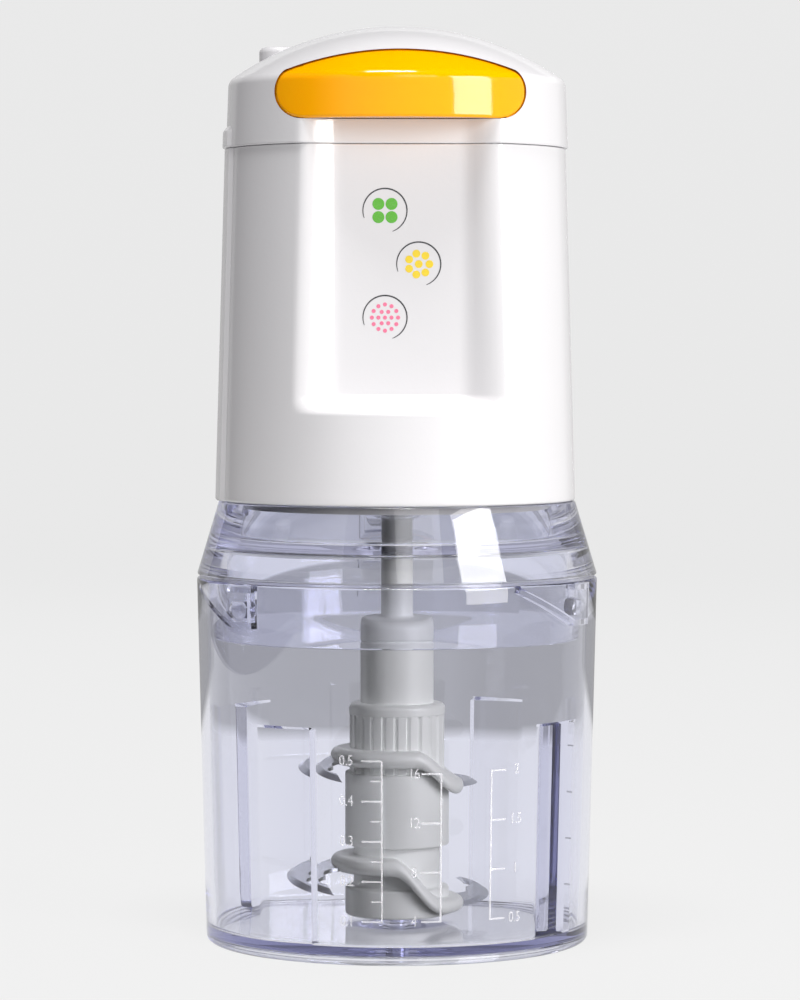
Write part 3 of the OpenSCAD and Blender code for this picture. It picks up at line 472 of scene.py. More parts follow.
class Graph:
    """One material's node tree, with the few nodes that the finishes share."""

    def __init__(self, name: str) -> None:
        """Start a material with nothing but its output.

        Args:
            name: The material's name.
        """
        self.material = bpy.data.materials.new(name)
        self.material.use_nodes = True
        self.tree = self.material.node_tree
        self.tree.nodes.clear()
        self.end = self.node("ShaderNodeOutputMaterial")

    def node(self, kind: str, settings: Settings = None, sockets: Sockets = None) -> bpy.types.Node:
        """Add one node.

        Args:
            kind: The node's type.
            settings: Its own settings, set first; stops are a colour ramp's places and greys.
            sockets: Values or links of its inputs.

        Returns:
            The node.
        """
        made = self.tree.nodes.new(kind)
        for key, setting in (settings or {}).items():
            if key == "stops":
                self._set_stops(made.color_ramp, setting)
            else:
                setattr(made, key, setting)
        for key, given in (sockets or {}).items():
            if isinstance(given, Value):
                self.tree.links.new(given.socket, made.inputs[key])
            else:
                made.inputs[key].default_value = given
        return made

    def out(self, output: Key, kind: str, settings: Settings = None, sockets: Sockets = None) -> Value:
        """One output of a new node, which is described as for node."""
        return Value(self, self.node(kind, settings, sockets).outputs[output])

    def place(self) -> Value:
        """Place in the piece's own space."""
        return self.out("Object", "ShaderNodeTexCoord")

    @staticmethod
    def _set_stops(ramp: bpy.types.ColorRamp, stops: Sequence[tuple[float, float]]) -> None:
        """Place a ramp's grey stops.

        Args:
            ramp: The ramp.
            stops: Place and grey of each stop.
        """
        while len(ramp.elements) < len(stops):
            ramp.elements.new(1.0)
        for element, (place, grey) in zip(ramp.elements, stops):
            element.position = place
            element.color = (grey, grey, grey, 1.0)

    def noise(self, scale: float, detail: float = 2.0, stretch: Colour = (1.0, 1.0, 1.0)) -> Value:
        """Cloudy pattern from 0 to 1 in the piece's own space.

        Args:
            scale: Spots per metre.
            detail: Number of finer layers.
            stretch: Scale along each axis.

        Returns:
            The pattern.
        """
        mapped = self.out("Vector", "ShaderNodeMapping", None, {"Vector": self.place(), "Scale": stretch})
        sockets = {"Vector": mapped, "Scale": scale, "Detail": detail}
        return self.out("Fac", "ShaderNodeTexNoise", None, sockets)

    def bands(self, scale: float, axis: str) -> Value:
        """Even bands from 0 to 1 along one axis.

        Args:
            scale: Scale of the pattern, about 3.2 bands per metre each.
            axis: The axis letter.

        Returns:
            The pattern.
        """
        settings = {"wave_type": "BANDS", "bands_direction": axis}
        sockets = {"Vector": self.place(), "Scale": scale, "Distortion": 0.0}
        return self.out("Fac", "ShaderNodeTexWave", settings, sockets)

    def along(self, axis: str, start: float, end: float) -> Value:
        """Share that grows from 0 to 1 between two places along an axis, in metres."""
        place = self.out(axis, "ShaderNodeSeparateXYZ", None, {0: self.place()})
        return self.ramp((place - start) * (1 / (end - start)), low=0.0, high=1.0)

    def ramp(self, factor: Value, low: float, high: float) -> Value:
        """Contrast stretch of a pattern between two levels."""
        stops = {"stops": [(low, 0.0), (high, 1.0)]}
        return self.out("Color", "ShaderNodeValToRGB", stops, {"Fac": factor})

    def mix(self, factor: Value, first: Colour, second: Colour) -> Value:
        """Colour between two others.

        Args:
            factor: Share of the second colour.
            first: Colour where the factor is 0.
            second: Colour where the factor is 1.

        Returns:
            The mixed colour.
        """
        # Inputs 6 and 7 and output 2 of the Mix node are its colours.
        sockets = {0: factor, 6: (*first, 1.0), 7: (*second, 1.0)}
        return self.out(2, "ShaderNodeMix", {"data_type": "RGBA"}, sockets)

    def bump(self, height: Value, depth: float, strength: float = 1.0) -> Value:
        """Normal bent by a relief whose depth is in metres."""
        sockets = {"Height": height, "Distance": depth, "Strength": strength}
        return self.out("Normal", "ShaderNodeBump", None, sockets)

    def surface(self, **sockets: Input) -> bpy.types.Material:
        """Close the tree with one principled shader.

        Args:
            **sockets: Its inputs, with underscores for spaces.

        Returns:
            The material.
        """
        named = {key.replace("_", " "): given for key, given in sockets.items()}
        shader = self.node("ShaderNodeBsdfPrincipled", None, named)
        self.tree.links.new(shader.outputs["BSDF"], self.end.inputs["Surface"])
        return self.material

    def inside(self, tint: Colour, density: float) -> None:
        """Let light lose colour on its way through the material.

        Args:
            tint: Colour that stays.
            density: How fast the rest is lost, per metre.
        """
        sockets = {"Color": (*tint, 1.0), "Density": density}
        loss = self.node("ShaderNodeVolumeAbsorption", None, sockets)
        self.tree.links.new(loss.outputs["Volume"], self.end.inputs["Volume"])


@dataclass(frozen=True)
class Finish:
    """Name of a finish and the record's slot that it belongs to."""

    name: str
    slot: str

    def material(self) -> bpy.types.Material:
        """The finish's material, made the first time that it is asked for."""
        return bpy.data.materials.get(self.name) or self.make(Graph(self.name))

    def make(self, graph: Graph) -> bpy.types.Material:
        """Build the material in a fresh graph."""
        raise NotImplementedError


@dataclass(frozen=True)
class MouldedPlastic(Finish):
    """Opaque plastic with a slow drift of shade and a fine moulded skin."""

    colour: Colour = (0.8, 0.8, 0.8)
    shade: Colour = (0.77, 0.77, 0.77)
    roughness: float = 0.3
    spread: float = 0.08
    grain: float = 900.0
    dimple: float = 0.00002
    coat: float = 0.0
    glow: float = 0.0
    specular: float = 0.5

    def make(self, graph: Graph) -> bpy.types.Material:
        """Build the material in a fresh graph.

        Args:
            graph: The empty graph.

        Returns:
            The material.
        """
        drift = graph.noise(scale=22.0, detail=3.0)
        grain = graph.noise(scale=self.grain, detail=4.0)
        return graph.surface(
            Base_Color=graph.mix(drift, self.colour, self.shade),
            Roughness=self.roughness + (grain - 0.5) * self.spread + (drift - 0.5) * self.spread,
            Normal=graph.bump(grain, self.dimple),
            Coat_Weight=self.coat,
            Coat_Roughness=0.05,
            Specular_IOR_Level=self.specular,
            Subsurface_Weight=self.glow,
            Subsurface_Radius=(1.0, 0.45, 0.1),
            Subsurface_Scale=0.002,
        )


@dataclass(frozen=True)
class ClearPlastic(Finish):
    """Clear moulded plastic with faint flow marks and a little handling haze."""

    tint: Colour = (0.9, 0.9, 0.96)
    haze: float = 0.02
    index: float = 1.5
    flow: float = 0.00001
    depth_tint: Colour = (0.26, 0.27, 0.58)
    density: float = 18.0
    least_haze: float = 0.4
    drift: float = 1.02

    def make(self, graph: Graph) -> bpy.types.Material:
        """Build the material in a fresh graph.

        Args:
            graph: The empty graph.

        Returns:
            The material.
        """
        flow = graph.noise(scale=26.0, stretch=(1.0, 1.0, 0.35))
        smear = graph.ramp(graph.noise(scale=60.0, detail=5.0, stretch=(1.0, 1.0, 0.5)), low=0.52, high=0.8)
        material = graph.surface(
            Base_Color=graph.mix(flow, self.tint, tuple(min(1.0, c * self.drift) for c in self.tint)),
            Roughness=self.haze * self.least_haze + smear * self.haze,
            Normal=graph.bump(flow, self.flow),
            Transmission_Weight=1.0,
            IOR=self.index,
        )
        graph.inside(self.depth_tint, self.density)
        return material


@dataclass(frozen=True)
class BrushedMetal(Finish):
    """Metal with fine lines along one direction and patches of wear."""

    colour: Colour = (0.6, 0.6, 0.62)
    shade: Colour = (0.5, 0.5, 0.53)
    roughness: float = 0.28
    stretch: Colour = (1.0, 1.0, 30.0)
    lines: float = 400.0
    line_spread: float = 0.2
    wear_spread: float = 0.08

    def make(self, graph: Graph) -> bpy.types.Material:
        """Build the material in a fresh graph.

        Args:
            graph: The empty graph.

        Returns:
            The material.
        """
        lines = graph.noise(scale=self.lines, detail=3.0, stretch=self.stretch)
        wear = graph.noise(scale=90.0, detail=4.0)
        return graph.surface(
            Base_Color=graph.mix(wear, self.colour, self.shade),
            Metallic=1.0,
            Roughness=self.roughness + (lines - 0.5) * self.line_spread + (wear - 0.5) * self.wear_spread,
            Normal=graph.bump(lines, depth=0.00001, strength=0.6),
        )


@dataclass(frozen=True)
class LayeredMetal(Finish):
    """Metal or wire that lies in even layers, such as core sheets or windings."""

    colour: Colour = (0.3, 0.3, 0.32)
    gap_colour: Colour = (0.1, 0.1, 0.1)
    metallic: float = 0.8
    roughness: float = 0.4
    layers: float = 300.0
    axis: str = "Z"
    spread: float = 0.2

    def make(self, graph: Graph) -> bpy.types.Material:
        """Build the material in a fresh graph.

        Args:
            graph: The empty graph.

        Returns:
            The material.
        """
        layer = graph.bands(self.layers, self.axis)
        spots = graph.noise(scale=300.0, detail=3.0)
        return graph.surface(
            Base_Color=graph.mix(layer, self.gap_colour, self.colour),
            Metallic=self.metallic,
            Roughness=self.roughness + (spots - 0.5) * self.spread,
            Normal=graph.bump(layer, depth=0.0001),
        )


@dataclass(frozen=True)
class RaisedMark(Finish):
    """Frosted raised strokes that let some of what lies behind them through."""

    colour: Colour = (0.82, 0.82, 0.86)
    cover: float = 0.42
    roughness: float = 0.35
    spread: float = 0.3

    def make(self, graph: Graph) -> bpy.types.Material:
        """Build the material in a fresh graph.

        Args:
            graph: The empty graph.

        Returns:
            The material.
        """
        frost = graph.noise(scale=1400.0, detail=3.0)
        return graph.surface(
            Base_Color=(*self.colour, 1.0),
            Roughness=self.roughness + (frost - 0.5) * self.spread,
            Normal=graph.bump(frost, depth=0.00003),
            Alpha=self.cover - self.spread / 2 + frost * self.spread,
        )


@dataclass(frozen=True)
class Ink(Finish):
    """Thin print with slightly uneven cover."""

    colour: Colour = (0.1, 0.1, 0.1)
    fade: float = 0.8
    pale: float = 0.06
    roughness: float = 0.42
    spread: float = 0.2

    def make(self, graph: Graph) -> bpy.types.Material:
        """Build the material in a fresh graph.

        Args:
            graph: The empty graph.

        Returns:
            The material.
        """
        speckle = graph.noise(scale=2500.0, detail=3.0)
        paler = tuple(min(1.0, c * self.fade + self.pale) for c in self.colour)
        return graph.surface(
            Base_Color=graph.mix(graph.ramp(speckle, low=0.45, high=0.75), self.colour, paler),
            Roughness=self.roughness + (speckle - 0.5) * self.spread,
            Normal=graph.bump(speckle, depth=0.000005),
        )


@dataclass(frozen=True)
class StudioPaper(Finish):
    """Plain paper of the set, with a glow of its own where it stands for lit walls."""

    colour: Colour = (0.08, 0.08, 0.08)
    glow: float = 0.0
    far_share: float = 1.0
    axis: str = "Z"
    start: float = 0.0
    end: float = 0.06
    mottle: float = 0.97
    roughness: float = 0.8
    spread: float = 0.2

    def make(self, graph: Graph) -> bpy.types.Material:
        """Build the material in a fresh graph.

        Args:
            graph: The empty graph.

        Returns:
            The material.
        """
        fibre = graph.noise(scale=400.0, detail=3.0)
        fade = graph.along(self.axis, self.start, self.end)
        material = graph.surface(
            Base_Color=graph.mix(fibre, self.colour, tuple(c * self.mottle for c in self.colour)),
            Roughness=self.roughness + fibre * self.spread,
            Specular_IOR_Level=0.0,
            Normal=graph.bump(fibre, depth=0.00001),
            Emission_Color=graph.mix(fade, (1.0, 1.0, 1.0), (self.far_share,) * 3),
            Emission_Strength=self.glow,
        )
        material.cycles.emission_sampling = "NONE"
        return material


class Finishes:
    """Every finish of the set and of the chopper."""

    ROOM = StudioPaper("room_paper", "white_plastic", glow=0.775)
    CARD = StudioPaper("card_paper", "white_plastic", glow=0.775, far_share=0.62)
    DUSK = StudioPaper("dusk_paper", "white_plastic", glow=0.775, far_share=0.4, end=0.006)
    FLAG = StudioPaper(
        "flag_paper", "white_plastic", (0.06, 0.055, 0.06), 0.775, 0.0, axis="Y", start=-1.12, end=-0.45
    )
    WINDOW = StudioPaper("window_paper", "white_plastic", glow=15.0)

    BOWL = ClearPlastic("bowl_clear", "clear_plastic", tint=(0.925, 0.932, 0.982))
    LID = ClearPlastic("lid_clear", "clear_plastic", tint=(0.925, 0.932, 0.982), density=7.0)
    SEAL = ClearPlastic("seal_clear", "seal_silicone", tint=(0.9, 0.9, 0.94), haze=0.25, index=1.41)
    MARKS = RaisedMark("scale_frost", "clear_plastic")
    WHITE = MouldedPlastic(
        "white_gloss", "white_plastic", (0.7, 0.69, 0.705), (0.68, 0.67, 0.685), 0.2, 0.06, coat=0.25
    )
    AMBER = MouldedPlastic(
        "amber_gloss", "amber_plastic", (1.0, 0.42, 0.0), (0.98, 0.39, 0.0), 0.09, 0.04, 500.0, 0.000004,
        coat=0.25, glow=0.2, specular=0.2
    )
    GREY = MouldedPlastic(
        "spindle_grey", "grey_plastic", (0.95, 0.96, 0.95), (0.91, 0.92, 0.92), 0.42, 0.12, 1400.0, 0.00002
    )
    BLADE = BrushedMetal(
        "blade_ground", "blade_steel", (0.62, 0.63, 0.66), (0.5, 0.51, 0.55), 0.2, (1.0, 12.0, 1.0), 250.0
    )
    PIN = BrushedMetal("pin_bright", "pin_steel", (0.7, 0.7, 0.71), (0.62, 0.62, 0.64), 0.2)
    SCREW = BrushedMetal("screw_zinc", "screw_steel", (0.66, 0.66, 0.62), (0.55, 0.55, 0.53), 0.32)
    BEARING = BrushedMetal("bearing_ground", "bearing_steel", (0.72, 0.72, 0.74), (0.66, 0.66, 0.68), 0.16)
    BRONZE = BrushedMetal("bush_bronze", "bronze", (0.62, 0.42, 0.22), (0.5, 0.33, 0.17), 0.38)
    BRASS = BrushedMetal("holder_brass", "brass", (0.78, 0.6, 0.28), (0.66, 0.5, 0.24), 0.3)
    CORE = LayeredMetal("core_sheets", "core_iron", layers=650.0)
    COPPER = LayeredMetal(
        "copper_wire", "copper", (0.75, 0.33, 0.16), (0.3, 0.1, 0.05), 0.9, 0.32, 420.0
    )
    DARK = MouldedPlastic(
        "dark_moulded", "dark_plastic", (0.045, 0.045, 0.05), (0.06, 0.06, 0.065), 0.45, 0.15
    )
    NYLON = MouldedPlastic(
        "gear_nylon_cream", "gear_nylon", (0.78, 0.74, 0.62), (0.72, 0.68, 0.56), 0.4, 0.12
    )
    CARBON = MouldedPlastic(
        "brush_carbon", "carbon", (0.02, 0.02, 0.022), (0.035, 0.035, 0.037), 0.6, 0.2, 2200.0
    )
    CAD = (
        BOWL, SEAL, WHITE, AMBER, GREY, BLADE, PIN, SCREW, BEARING, BRONZE, BRASS, CORE, COPPER, DARK,
        NYLON, CARBON,
    )


@dataclass(frozen=True)
class FingerRecess:
    """Soft-edged recess down the front of the motor unit, under the push bar."""

    floor_y: float = 38.5
    half_w: float = 19.0
    side_deg: float = 26.5
    up: float = 32.2
    ledge_h: float = 5.8
    edge_soft: float = 5.0
    corner_soft: float = 1.0
    widest_deg: float = 60.0
    least_run: float = 0.05

    def radius(self, turn_deg: float, up: float, outer: float) -> float:
        """Distance of the wall from the axis.

        Args:
            turn_deg: Direction from the front towards the right, in degrees.
            up: Height above the housing's lower edge.
            outer: Distance of the wall without the recess.

        Returns:
            The distance.
        """
        if abs(turn_deg) > self.widest_deg:
            return outer
        ahead = math.cos(math.radians(turn_deg))
        aside = abs(math.sin(math.radians(turn_deg)))
        lean = math.tan(math.radians(self.side_deg))
        floor = self.floor_y / ahead
        side = (self.floor_y - self.half_w * lean) / max(ahead - aside * lean, self.least_run)
        hollow = blend_low(outer, blend_high(floor, side, self.corner_soft), self.edge_soft)
        return outer - (outer - hollow) * ease(1 - (self.up - up) / self.ledge_h)


@dataclass
class MotorHousing:
    """White shell of the motor unit with its finger recess, side pad and cooling slots."""

    recess: FingerRecess
    wall: float = 2.4
    top_r: float = 50.4
    pad_t: float = 1.1
    pad_half_deg: float = 15.0
    pad_edge_deg: float = 0.9
    slots: int = 9
    slot_w: float = 2.4
    slot_h: float = 20.0
    slot_up: float = 22.3
    slot_step_deg: float = 6.0
    slot_in: float = 12.0
    slot_out: float = 6.0
    facets: int = 240
    row_h: float = 1.5
    ledge_rows: int = 21
    ledge_from: float = 1.1
    ledge_step: float = 0.06

    def __post_init__(self) -> None:
        """Take the shell's height and foot from the frame."""
        low, high = span("housing")
        self.low_z, self.top_z, self.low_r = low.z, high.z, high.x

    def wall_r(self, z: float) -> float:
        """Outer radius at a height, without recess and pad."""
        return self.low_r + (self.top_r - self.low_r) * (z - self.low_z) / (self.top_z - self.low_z)

    def pad(self, turn_deg: float) -> float:
        """Height of the side pad in a direction."""
        off_left = abs(abs(turn_deg) - 90) if turn_deg < 0 else 180.0
        return self.pad_t * ease((self.pad_half_deg - off_left) / self.pad_edge_deg)

    def shaped(self, point: Vector) -> Vector:
        """A point of the plain shell moved to the recess and the pad.

        Args:
            point: The point.

        Returns:
            Its new place.
        """
        turn, outer = turn_of(point), self.wall_r(point.z)
        inset = outer - point.xy.length
        radius = self.recess.radius(turn, point.z - self.low_z, outer) - inset
        radius += self.pad(turn) * ease(1 - inset / self.wall)
        return round_the_axis(turn, radius, point.z)

    def slot_cutters(self) -> Piece:
        """Round-ended cutters of the cooling slots, fanned round the back.

        Returns:
            The cutters as one mesh.
        """
        half, low = self.slot_w / 2, self.low_z + self.slot_up
        outline = block(half, low, low + self.slot_h, half * ROUND_END)
        cutter = Bench.prism("slot_cutter", outline, self.top_r - self.slot_in, self.low_r + self.slot_out)
        middle = (self.slots - 1) / 2
        return Bench.copies(cutter, [(i - middle) * self.slot_step_deg for i in range(self.slots)])

    def build(self) -> None:
        """Model and dress the shell."""
        ledge_z, ledge_h = self.low_z + self.recess.up, self.recess.ledge_h
        shares = [self.ledge_from - self.ledge_step * i for i in range(self.ledge_rows)]
        rows = [ledge_z - ledge_h * share for share in shares]
        outline = rounded([
            (self.low_r, self.low_z, 0.8), *[(self.wall_r(z), z, 0.0) for z in rows],
            (self.top_r, self.top_z, 0.45), (self.top_r - self.wall, self.top_z, 0.3),
            *[(self.wall_r(z) - self.wall, z, 0.0) for z in reversed(rows)],
            (self.low_r - self.wall, self.low_z, 0.4),
        ])
        shell = Bench.lathe("housing_shell", divided(outline, self.row_h), self.facets)
        Bench.reshape(shell, self.shaped)
        Bench.combine(shell, self.slot_cutters(), Join.CUT)
        Bench.settle(shell, "motor_unit", Finishes.WHITE, ["housing"], smooth_deg=32.0)


@dataclass
class PushBar:
    """Amber push bar whose face runs on with the dome."""

    cap: "TopCap"
    end_r: float = 8.0
    end_x: float = 28.5
    top_arc_r: float = 97.0
    rim: float = 0.9
    wall: float = 2.0
    flange: float = 0.9
    flange_in: float = 0.85
    flange_lap: float = 0.2
    floor_up: float = 0.05
    floor_in: float = 0.1
    floor_back_y: float = -36.5
    mouth_side: float = 2.0
    mouth_drop: float = 1.0
    mouth_y: tuple[float, float] = (-72.0, -28.0)
    corner_soft: float = 0.8
    chords: int = 90
    columns: int = 150
    rows: int = 48

    def __post_init__(self) -> None:
        """Take the bar's place from the frame."""
        low, high = span("button")
        self.low_z, self.top_z, self.half_w = low.z, high.z, high.x
        self.end_z = self.low_z + self.end_r
        self.arc_z = self.top_z - self.top_arc_r

    def bottom(self, x: float, grow: float = 0.0) -> float:
        """Height of the lower edge at a place across."""
        past = max(abs(x) - self.end_x, 0.0)
        return self.end_z - math.sqrt(max((self.end_r + grow) ** 2 - past ** 2, 0.0))

    def top(self, x: float, grow: float = 0.0) -> float:
        """Height of the upper edge at a place across.

        Args:
            x: The place.
            grow: How far the outline moves out.

        Returns:
            The height.
        """
        past = max(abs(x) - self.end_x, 0.0)
        end = self.end_z + math.sqrt(max((self.end_r + grow) ** 2 - past ** 2, 0.0))
        crown = self.arc_z + math.sqrt((self.top_arc_r + grow) ** 2 - x ** 2)
        return min(end, crown) if past > 0 else crown

    def outline(self, grow: float) -> Outline:
        """Front view of the bar, grown all round.

        Args:
            grow: How far the outline moves out.

        Returns:
            The outline's points.
        """
        reach = self.end_x + self.end_r + grow
        xs = [-reach * math.cos(math.pi * i / self.chords) for i in range(self.chords + 1)]
        lower = [(x, self.bottom(x, grow)) for x in xs]
        upper = [(x, self.top(x, grow)) for x in reversed(xs[1:-1])]
        return lower + upper

    def mouth(self, grow: float) -> Piece:
        """Block that keeps the recess under the bar open, for an outline that has grown."""
        low = self.low_z - grow - self.mouth_drop
        return Bench.prism("bar_mouth", block(self.end_x + self.mouth_side, low, self.end_z), *self.mouth_y)

    def edge_distance(self, x: float, z: float) -> float:
        """Distance of a point of the front view from the outline.

        Args:
            x: Place across.
            z: Height.

        Returns:
            The distance, 0 outside.
        """
        past = abs(x) - self.end_x
        round_end = self.end_r - math.hypot(past, z - self.end_z)
        lower = z - self.low_z if past <= 0 else round_end
        upper = self.top_arc_r - math.hypot(x, z - self.arc_z)
        return max(blend_low(lower, upper, self.corner_soft), 0.0)

    def face_point(self, across: float, up: float) -> Vector:
        """Point of the bar's face.

        Args:
            across: Share across, -1 to 1.
            up: Share up, -1 to 1.

        Returns:
            The point.
        """
        x = self.half_w * math.sin(across * math.pi / 2)
        share = 0.5 + 0.5 * math.sin(up * math.pi / 2)
        z = self.bottom(x) + (self.top(x) - self.bottom(x)) * share
        drop = max(self.rim - self.edge_distance(x, z), 0.0)
        sunk = self.rim - math.sqrt(max(self.rim ** 2 - drop ** 2, 0.0))
        radius = self.cap.side(z)[0]
        return Vector((x, -math.sqrt(max(radius ** 2 - x ** 2, 0.0)), z)) - self.outward(x, z) * sunk

    def outward(self, x: float, z: float) -> Vector:
        """Unit vector out of the face at a place of the front view."""
        radius, lean = self.cap.side(z)
        return Vector((x / radius * lean.x, -math.sqrt(max(1 - (x / radius) ** 2, 0.0)) * lean.x, lean.y))

    def edge_flange(self) -> Piece:
        """Thin edge of the bar that runs on under the cap's lip.

        Returns:
            The flange.
        """
        flange = Bench.prism("bar_flange", self.outline(self.flange), *self.cap.cut_y)
        Bench.combine(flange, self.cap.core(self.flange_in), Join.SHARE)
        Bench.combine(flange, self.cap.core(self.wall - self.flange_lap), Join.CUT)
        Bench.combine(flange, self.mouth(self.flange), Join.CUT)
        return flange

    def floor(self) -> Piece:
        """Plate that closes the bar from below.

        Returns:
            The plate.
        """
        low = self.low_z + self.floor_up
        outline = block(self.end_x - self.floor_in, low, low + self.wall)
        plate = Bench.prism("bar_floor", outline, self.cap.cut_y[0], self.floor_back_y)
        Bench.combine(plate, self.cap.core(self.rim), Join.SHARE)
        return plate

    def build(self) -> None:
        """Model and dress the bar."""
        bar = Bench.sheet("push_bar", self.columns, self.rows, self.face_point)
        with Bench.editing(bar):
            bpy.ops.mesh.remove_doubles(threshold=WELD)
        Bench.thicken(bar, lambda point: point - self.outward(point.x, point.z) * self.wall)
        Bench.combine(bar, self.edge_flange(), Join.ADD)
        Bench.combine(bar, self.floor(), Join.ADD)
        Bench.settle(bar, "button", Finishes.AMBER, ["button"], smooth_deg=50.0)


@dataclass
class TopCap:
    """White domed cap with the push bar's opening and the side pad's upper end."""

    housing: MotorHousing
    seam: float = 0.15
    side_r: float = 50.4
    dome_r: float = 85.5
    corner: float = 3.2
    wall: float = 2.4
    pad_up: float = 6.0
    pad_edge: float = 0.8
    lip_h: float = 5.0
    lip_t: float = 1.8
    lip_root: float = 0.6
    lip_row: float = 1.0
    foot_edge: float = 0.45
    foot_turn: float = 0.3
    plain_from: float = 2.0
    plain_r: float = 1.0
    sill_fade: float = 3.0
    bar_gap: float = 0.12
    edge_t: float = 0.4
    relief: float = 2.4
    cut_y: tuple[float, float] = (-70.0, -20.0)
    gland_gap: float = 0.1
    gland_over: float = 9.0
    gland_facets: int = 64
    facets: int = 240
    row_h: float = 0.7
    bend_chords: int = 8
    dome_chords: int = 30

    def __post_init__(self) -> None:
        """Take the cap's height and width from the frame."""
        self.low_z = self.housing.top_z + self.seam
        high = span("cap")[1]
        self.base_r, self.apex_z = high.x, high.z
        self.dome_z = self.apex_z - self.dome_r
        self.corner_x = self.side_r - self.corner
        self.corner_z = self.dome_z + math.sqrt((self.dome_r - self.corner) ** 2 - self.corner_x ** 2)
        self.lean_deg = math.degrees(math.atan2(self.corner_z - self.dome_z, self.corner_x))
        self.sill_z = span("button")[0].z - self.bar_gap

    def side(self, z: float) -> tuple[float, Vector]:
        """Outer radius at a height and the way out of the surface there.

        Args:
            z: The height.

        Returns:
            The radius, and a unit vector outwards and up.
        """
        if z <= self.corner_z:
            share = (z - self.low_z) / (self.corner_z - self.low_z)
            return self.base_r + (self.side_r - self.base_r) * share, Vector((1.0, 0.0))
        up = (z - self.corner_z) / self.corner
        if up < math.sin(math.radians(self.lean_deg)):
            out = math.sqrt(1 - up ** 2)
            return self.corner_x + self.corner * out, Vector((out, up))
        up = min((z - self.dome_z) / self.dome_r, 1.0)
        out = math.sqrt(1 - up ** 2)
        return self.dome_r * out, Vector((out, up))

    def section(self, inset: float) -> Outline:
        """Half section from the seam up to the axis.

        Args:
            inset: Distance inside the outer face.

        Returns:
            The section's points.
        """
        foot = [(self.base_r - inset, self.low_z), (self.side_r - inset, self.corner_z)]
        corner, lean = (self.corner_x, self.corner_z), self.lean_deg
        bend = arc(corner, self.corner - inset, 0.0, lean, self.bend_chords)
        dome = arc((0.0, self.dome_z), self.dome_r - inset, lean, 90.0, self.dome_chords)
        return divided(foot, self.row_h, closed=False)[:-1] + bend[:-1] + dome

    def shaped(self, point: Vector) -> Vector:
        """A point of the plain cap moved to the recess and the pad.

        Args:
            point: The point.

        Returns:
            Its new place.
        """
        if point.z > self.corner_z - self.plain_from or point.xy.length < self.plain_r:
            return point
        turn, outer = turn_of(point), self.side(point.z)[0]
        inset = outer - point.xy.length
        hollow = self.housing.recess.radius(turn, point.z - self.housing.low_z, outer)
        keep = ease((point.z - self.sill_z) / self.sill_fade)
        radius = hollow + (outer - hollow) * keep - inset
        pad_end = ease((self.low_z + self.pad_up - point.z) / self.pad_edge)
        radius += self.housing.pad(turn) * pad_end * ease(1 - inset / self.wall)
        return round_the_axis(turn, radius, point.z)

    def core(self, inset: float) -> Piece:
        """Solid that fills the cap up to a distance inside its outer face."""
        outline = [(0.0, self.low_z)] + self.section(inset)
        return Bench.lathe("cap_core", outline, self.facets)

    def lip(self) -> Piece:
        """Ring under the cap that locates it inside the housing and closes the seam from behind.

        Returns:
            The ring.
        """
        outer_r, foot_z = self.housing.top_r - self.housing.wall - self.seam, self.low_z - self.lip_h
        inner_r, root_r = outer_r - self.lip_t, self.base_r - self.wall * self.lip_root
        root_z, top_z = self.low_z + self.seam, self.low_z + self.lip_t
        outline = [
            (inner_r, foot_z), (outer_r, foot_z), (outer_r, root_z), (root_r, root_z), (root_r, top_z),
            (inner_r, top_z),
        ]
        ring = Bench.lathe("cap_lip", divided(outline, self.lip_row), self.facets)
        Bench.reshape(ring, self.housing.shaped)
        return ring

    def gland_seat(self) -> Piece:
        """Cutter for the round hole that the cord gland stands in.

        Returns:
            The cutter.
        """
        low, high = span("cord_gland")
        seat_r, over_z = (high.x - low.x) / 2 + self.gland_gap, high.z + self.gland_over
        outline = [(0, low.z), (seat_r, low.z), (seat_r, over_z), (0, over_z)]
        seat = Bench.lathe("gland_hole", outline, self.gland_facets)
        centre = (low + high) / 2
        seat.data.transform(Matrix.Translation((centre.x, centre.y, 0)))
        return seat

    def build(self, bar: PushBar) -> None:
        """Model and dress the cap.

        Args:
            bar: The push bar that the opening takes.
        """
        outer, inner = self.section(0.0), self.section(self.wall)
        edge, turn = self.foot_edge, self.foot_edge * self.foot_turn
        foot = [(self.base_r - edge, self.low_z), (self.base_r - turn, self.low_z + turn)]
        raised = [(outer[0][0], self.low_z + edge)] + outer[1:]
        cap = Bench.lathe("top_cap", foot + raised + inner[::-1], self.facets)
        Bench.reshape(cap, self.shaped)
        opening = Bench.prism("bar_opening", bar.outline(self.bar_gap), *self.cut_y)
        Bench.combine(cap, opening, Join.CUT)
        behind = Bench.prism("bar_relief", bar.outline(self.relief), *self.cut_y)
        Bench.combine(behind, self.core(self.edge_t), Join.SHARE)
        Bench.combine(behind, bar.mouth(self.relief), Join.CUT)
        Bench.combine(cap, behind, Join.CUT)
        Bench.combine(cap, self.gland_seat(), Join.CUT)
        Bench.combine(cap, self.lip(), Join.ADD)
        Bench.settle(cap, "motor_unit", Finishes.WHITE, ["cap"], smooth_deg=32.0)


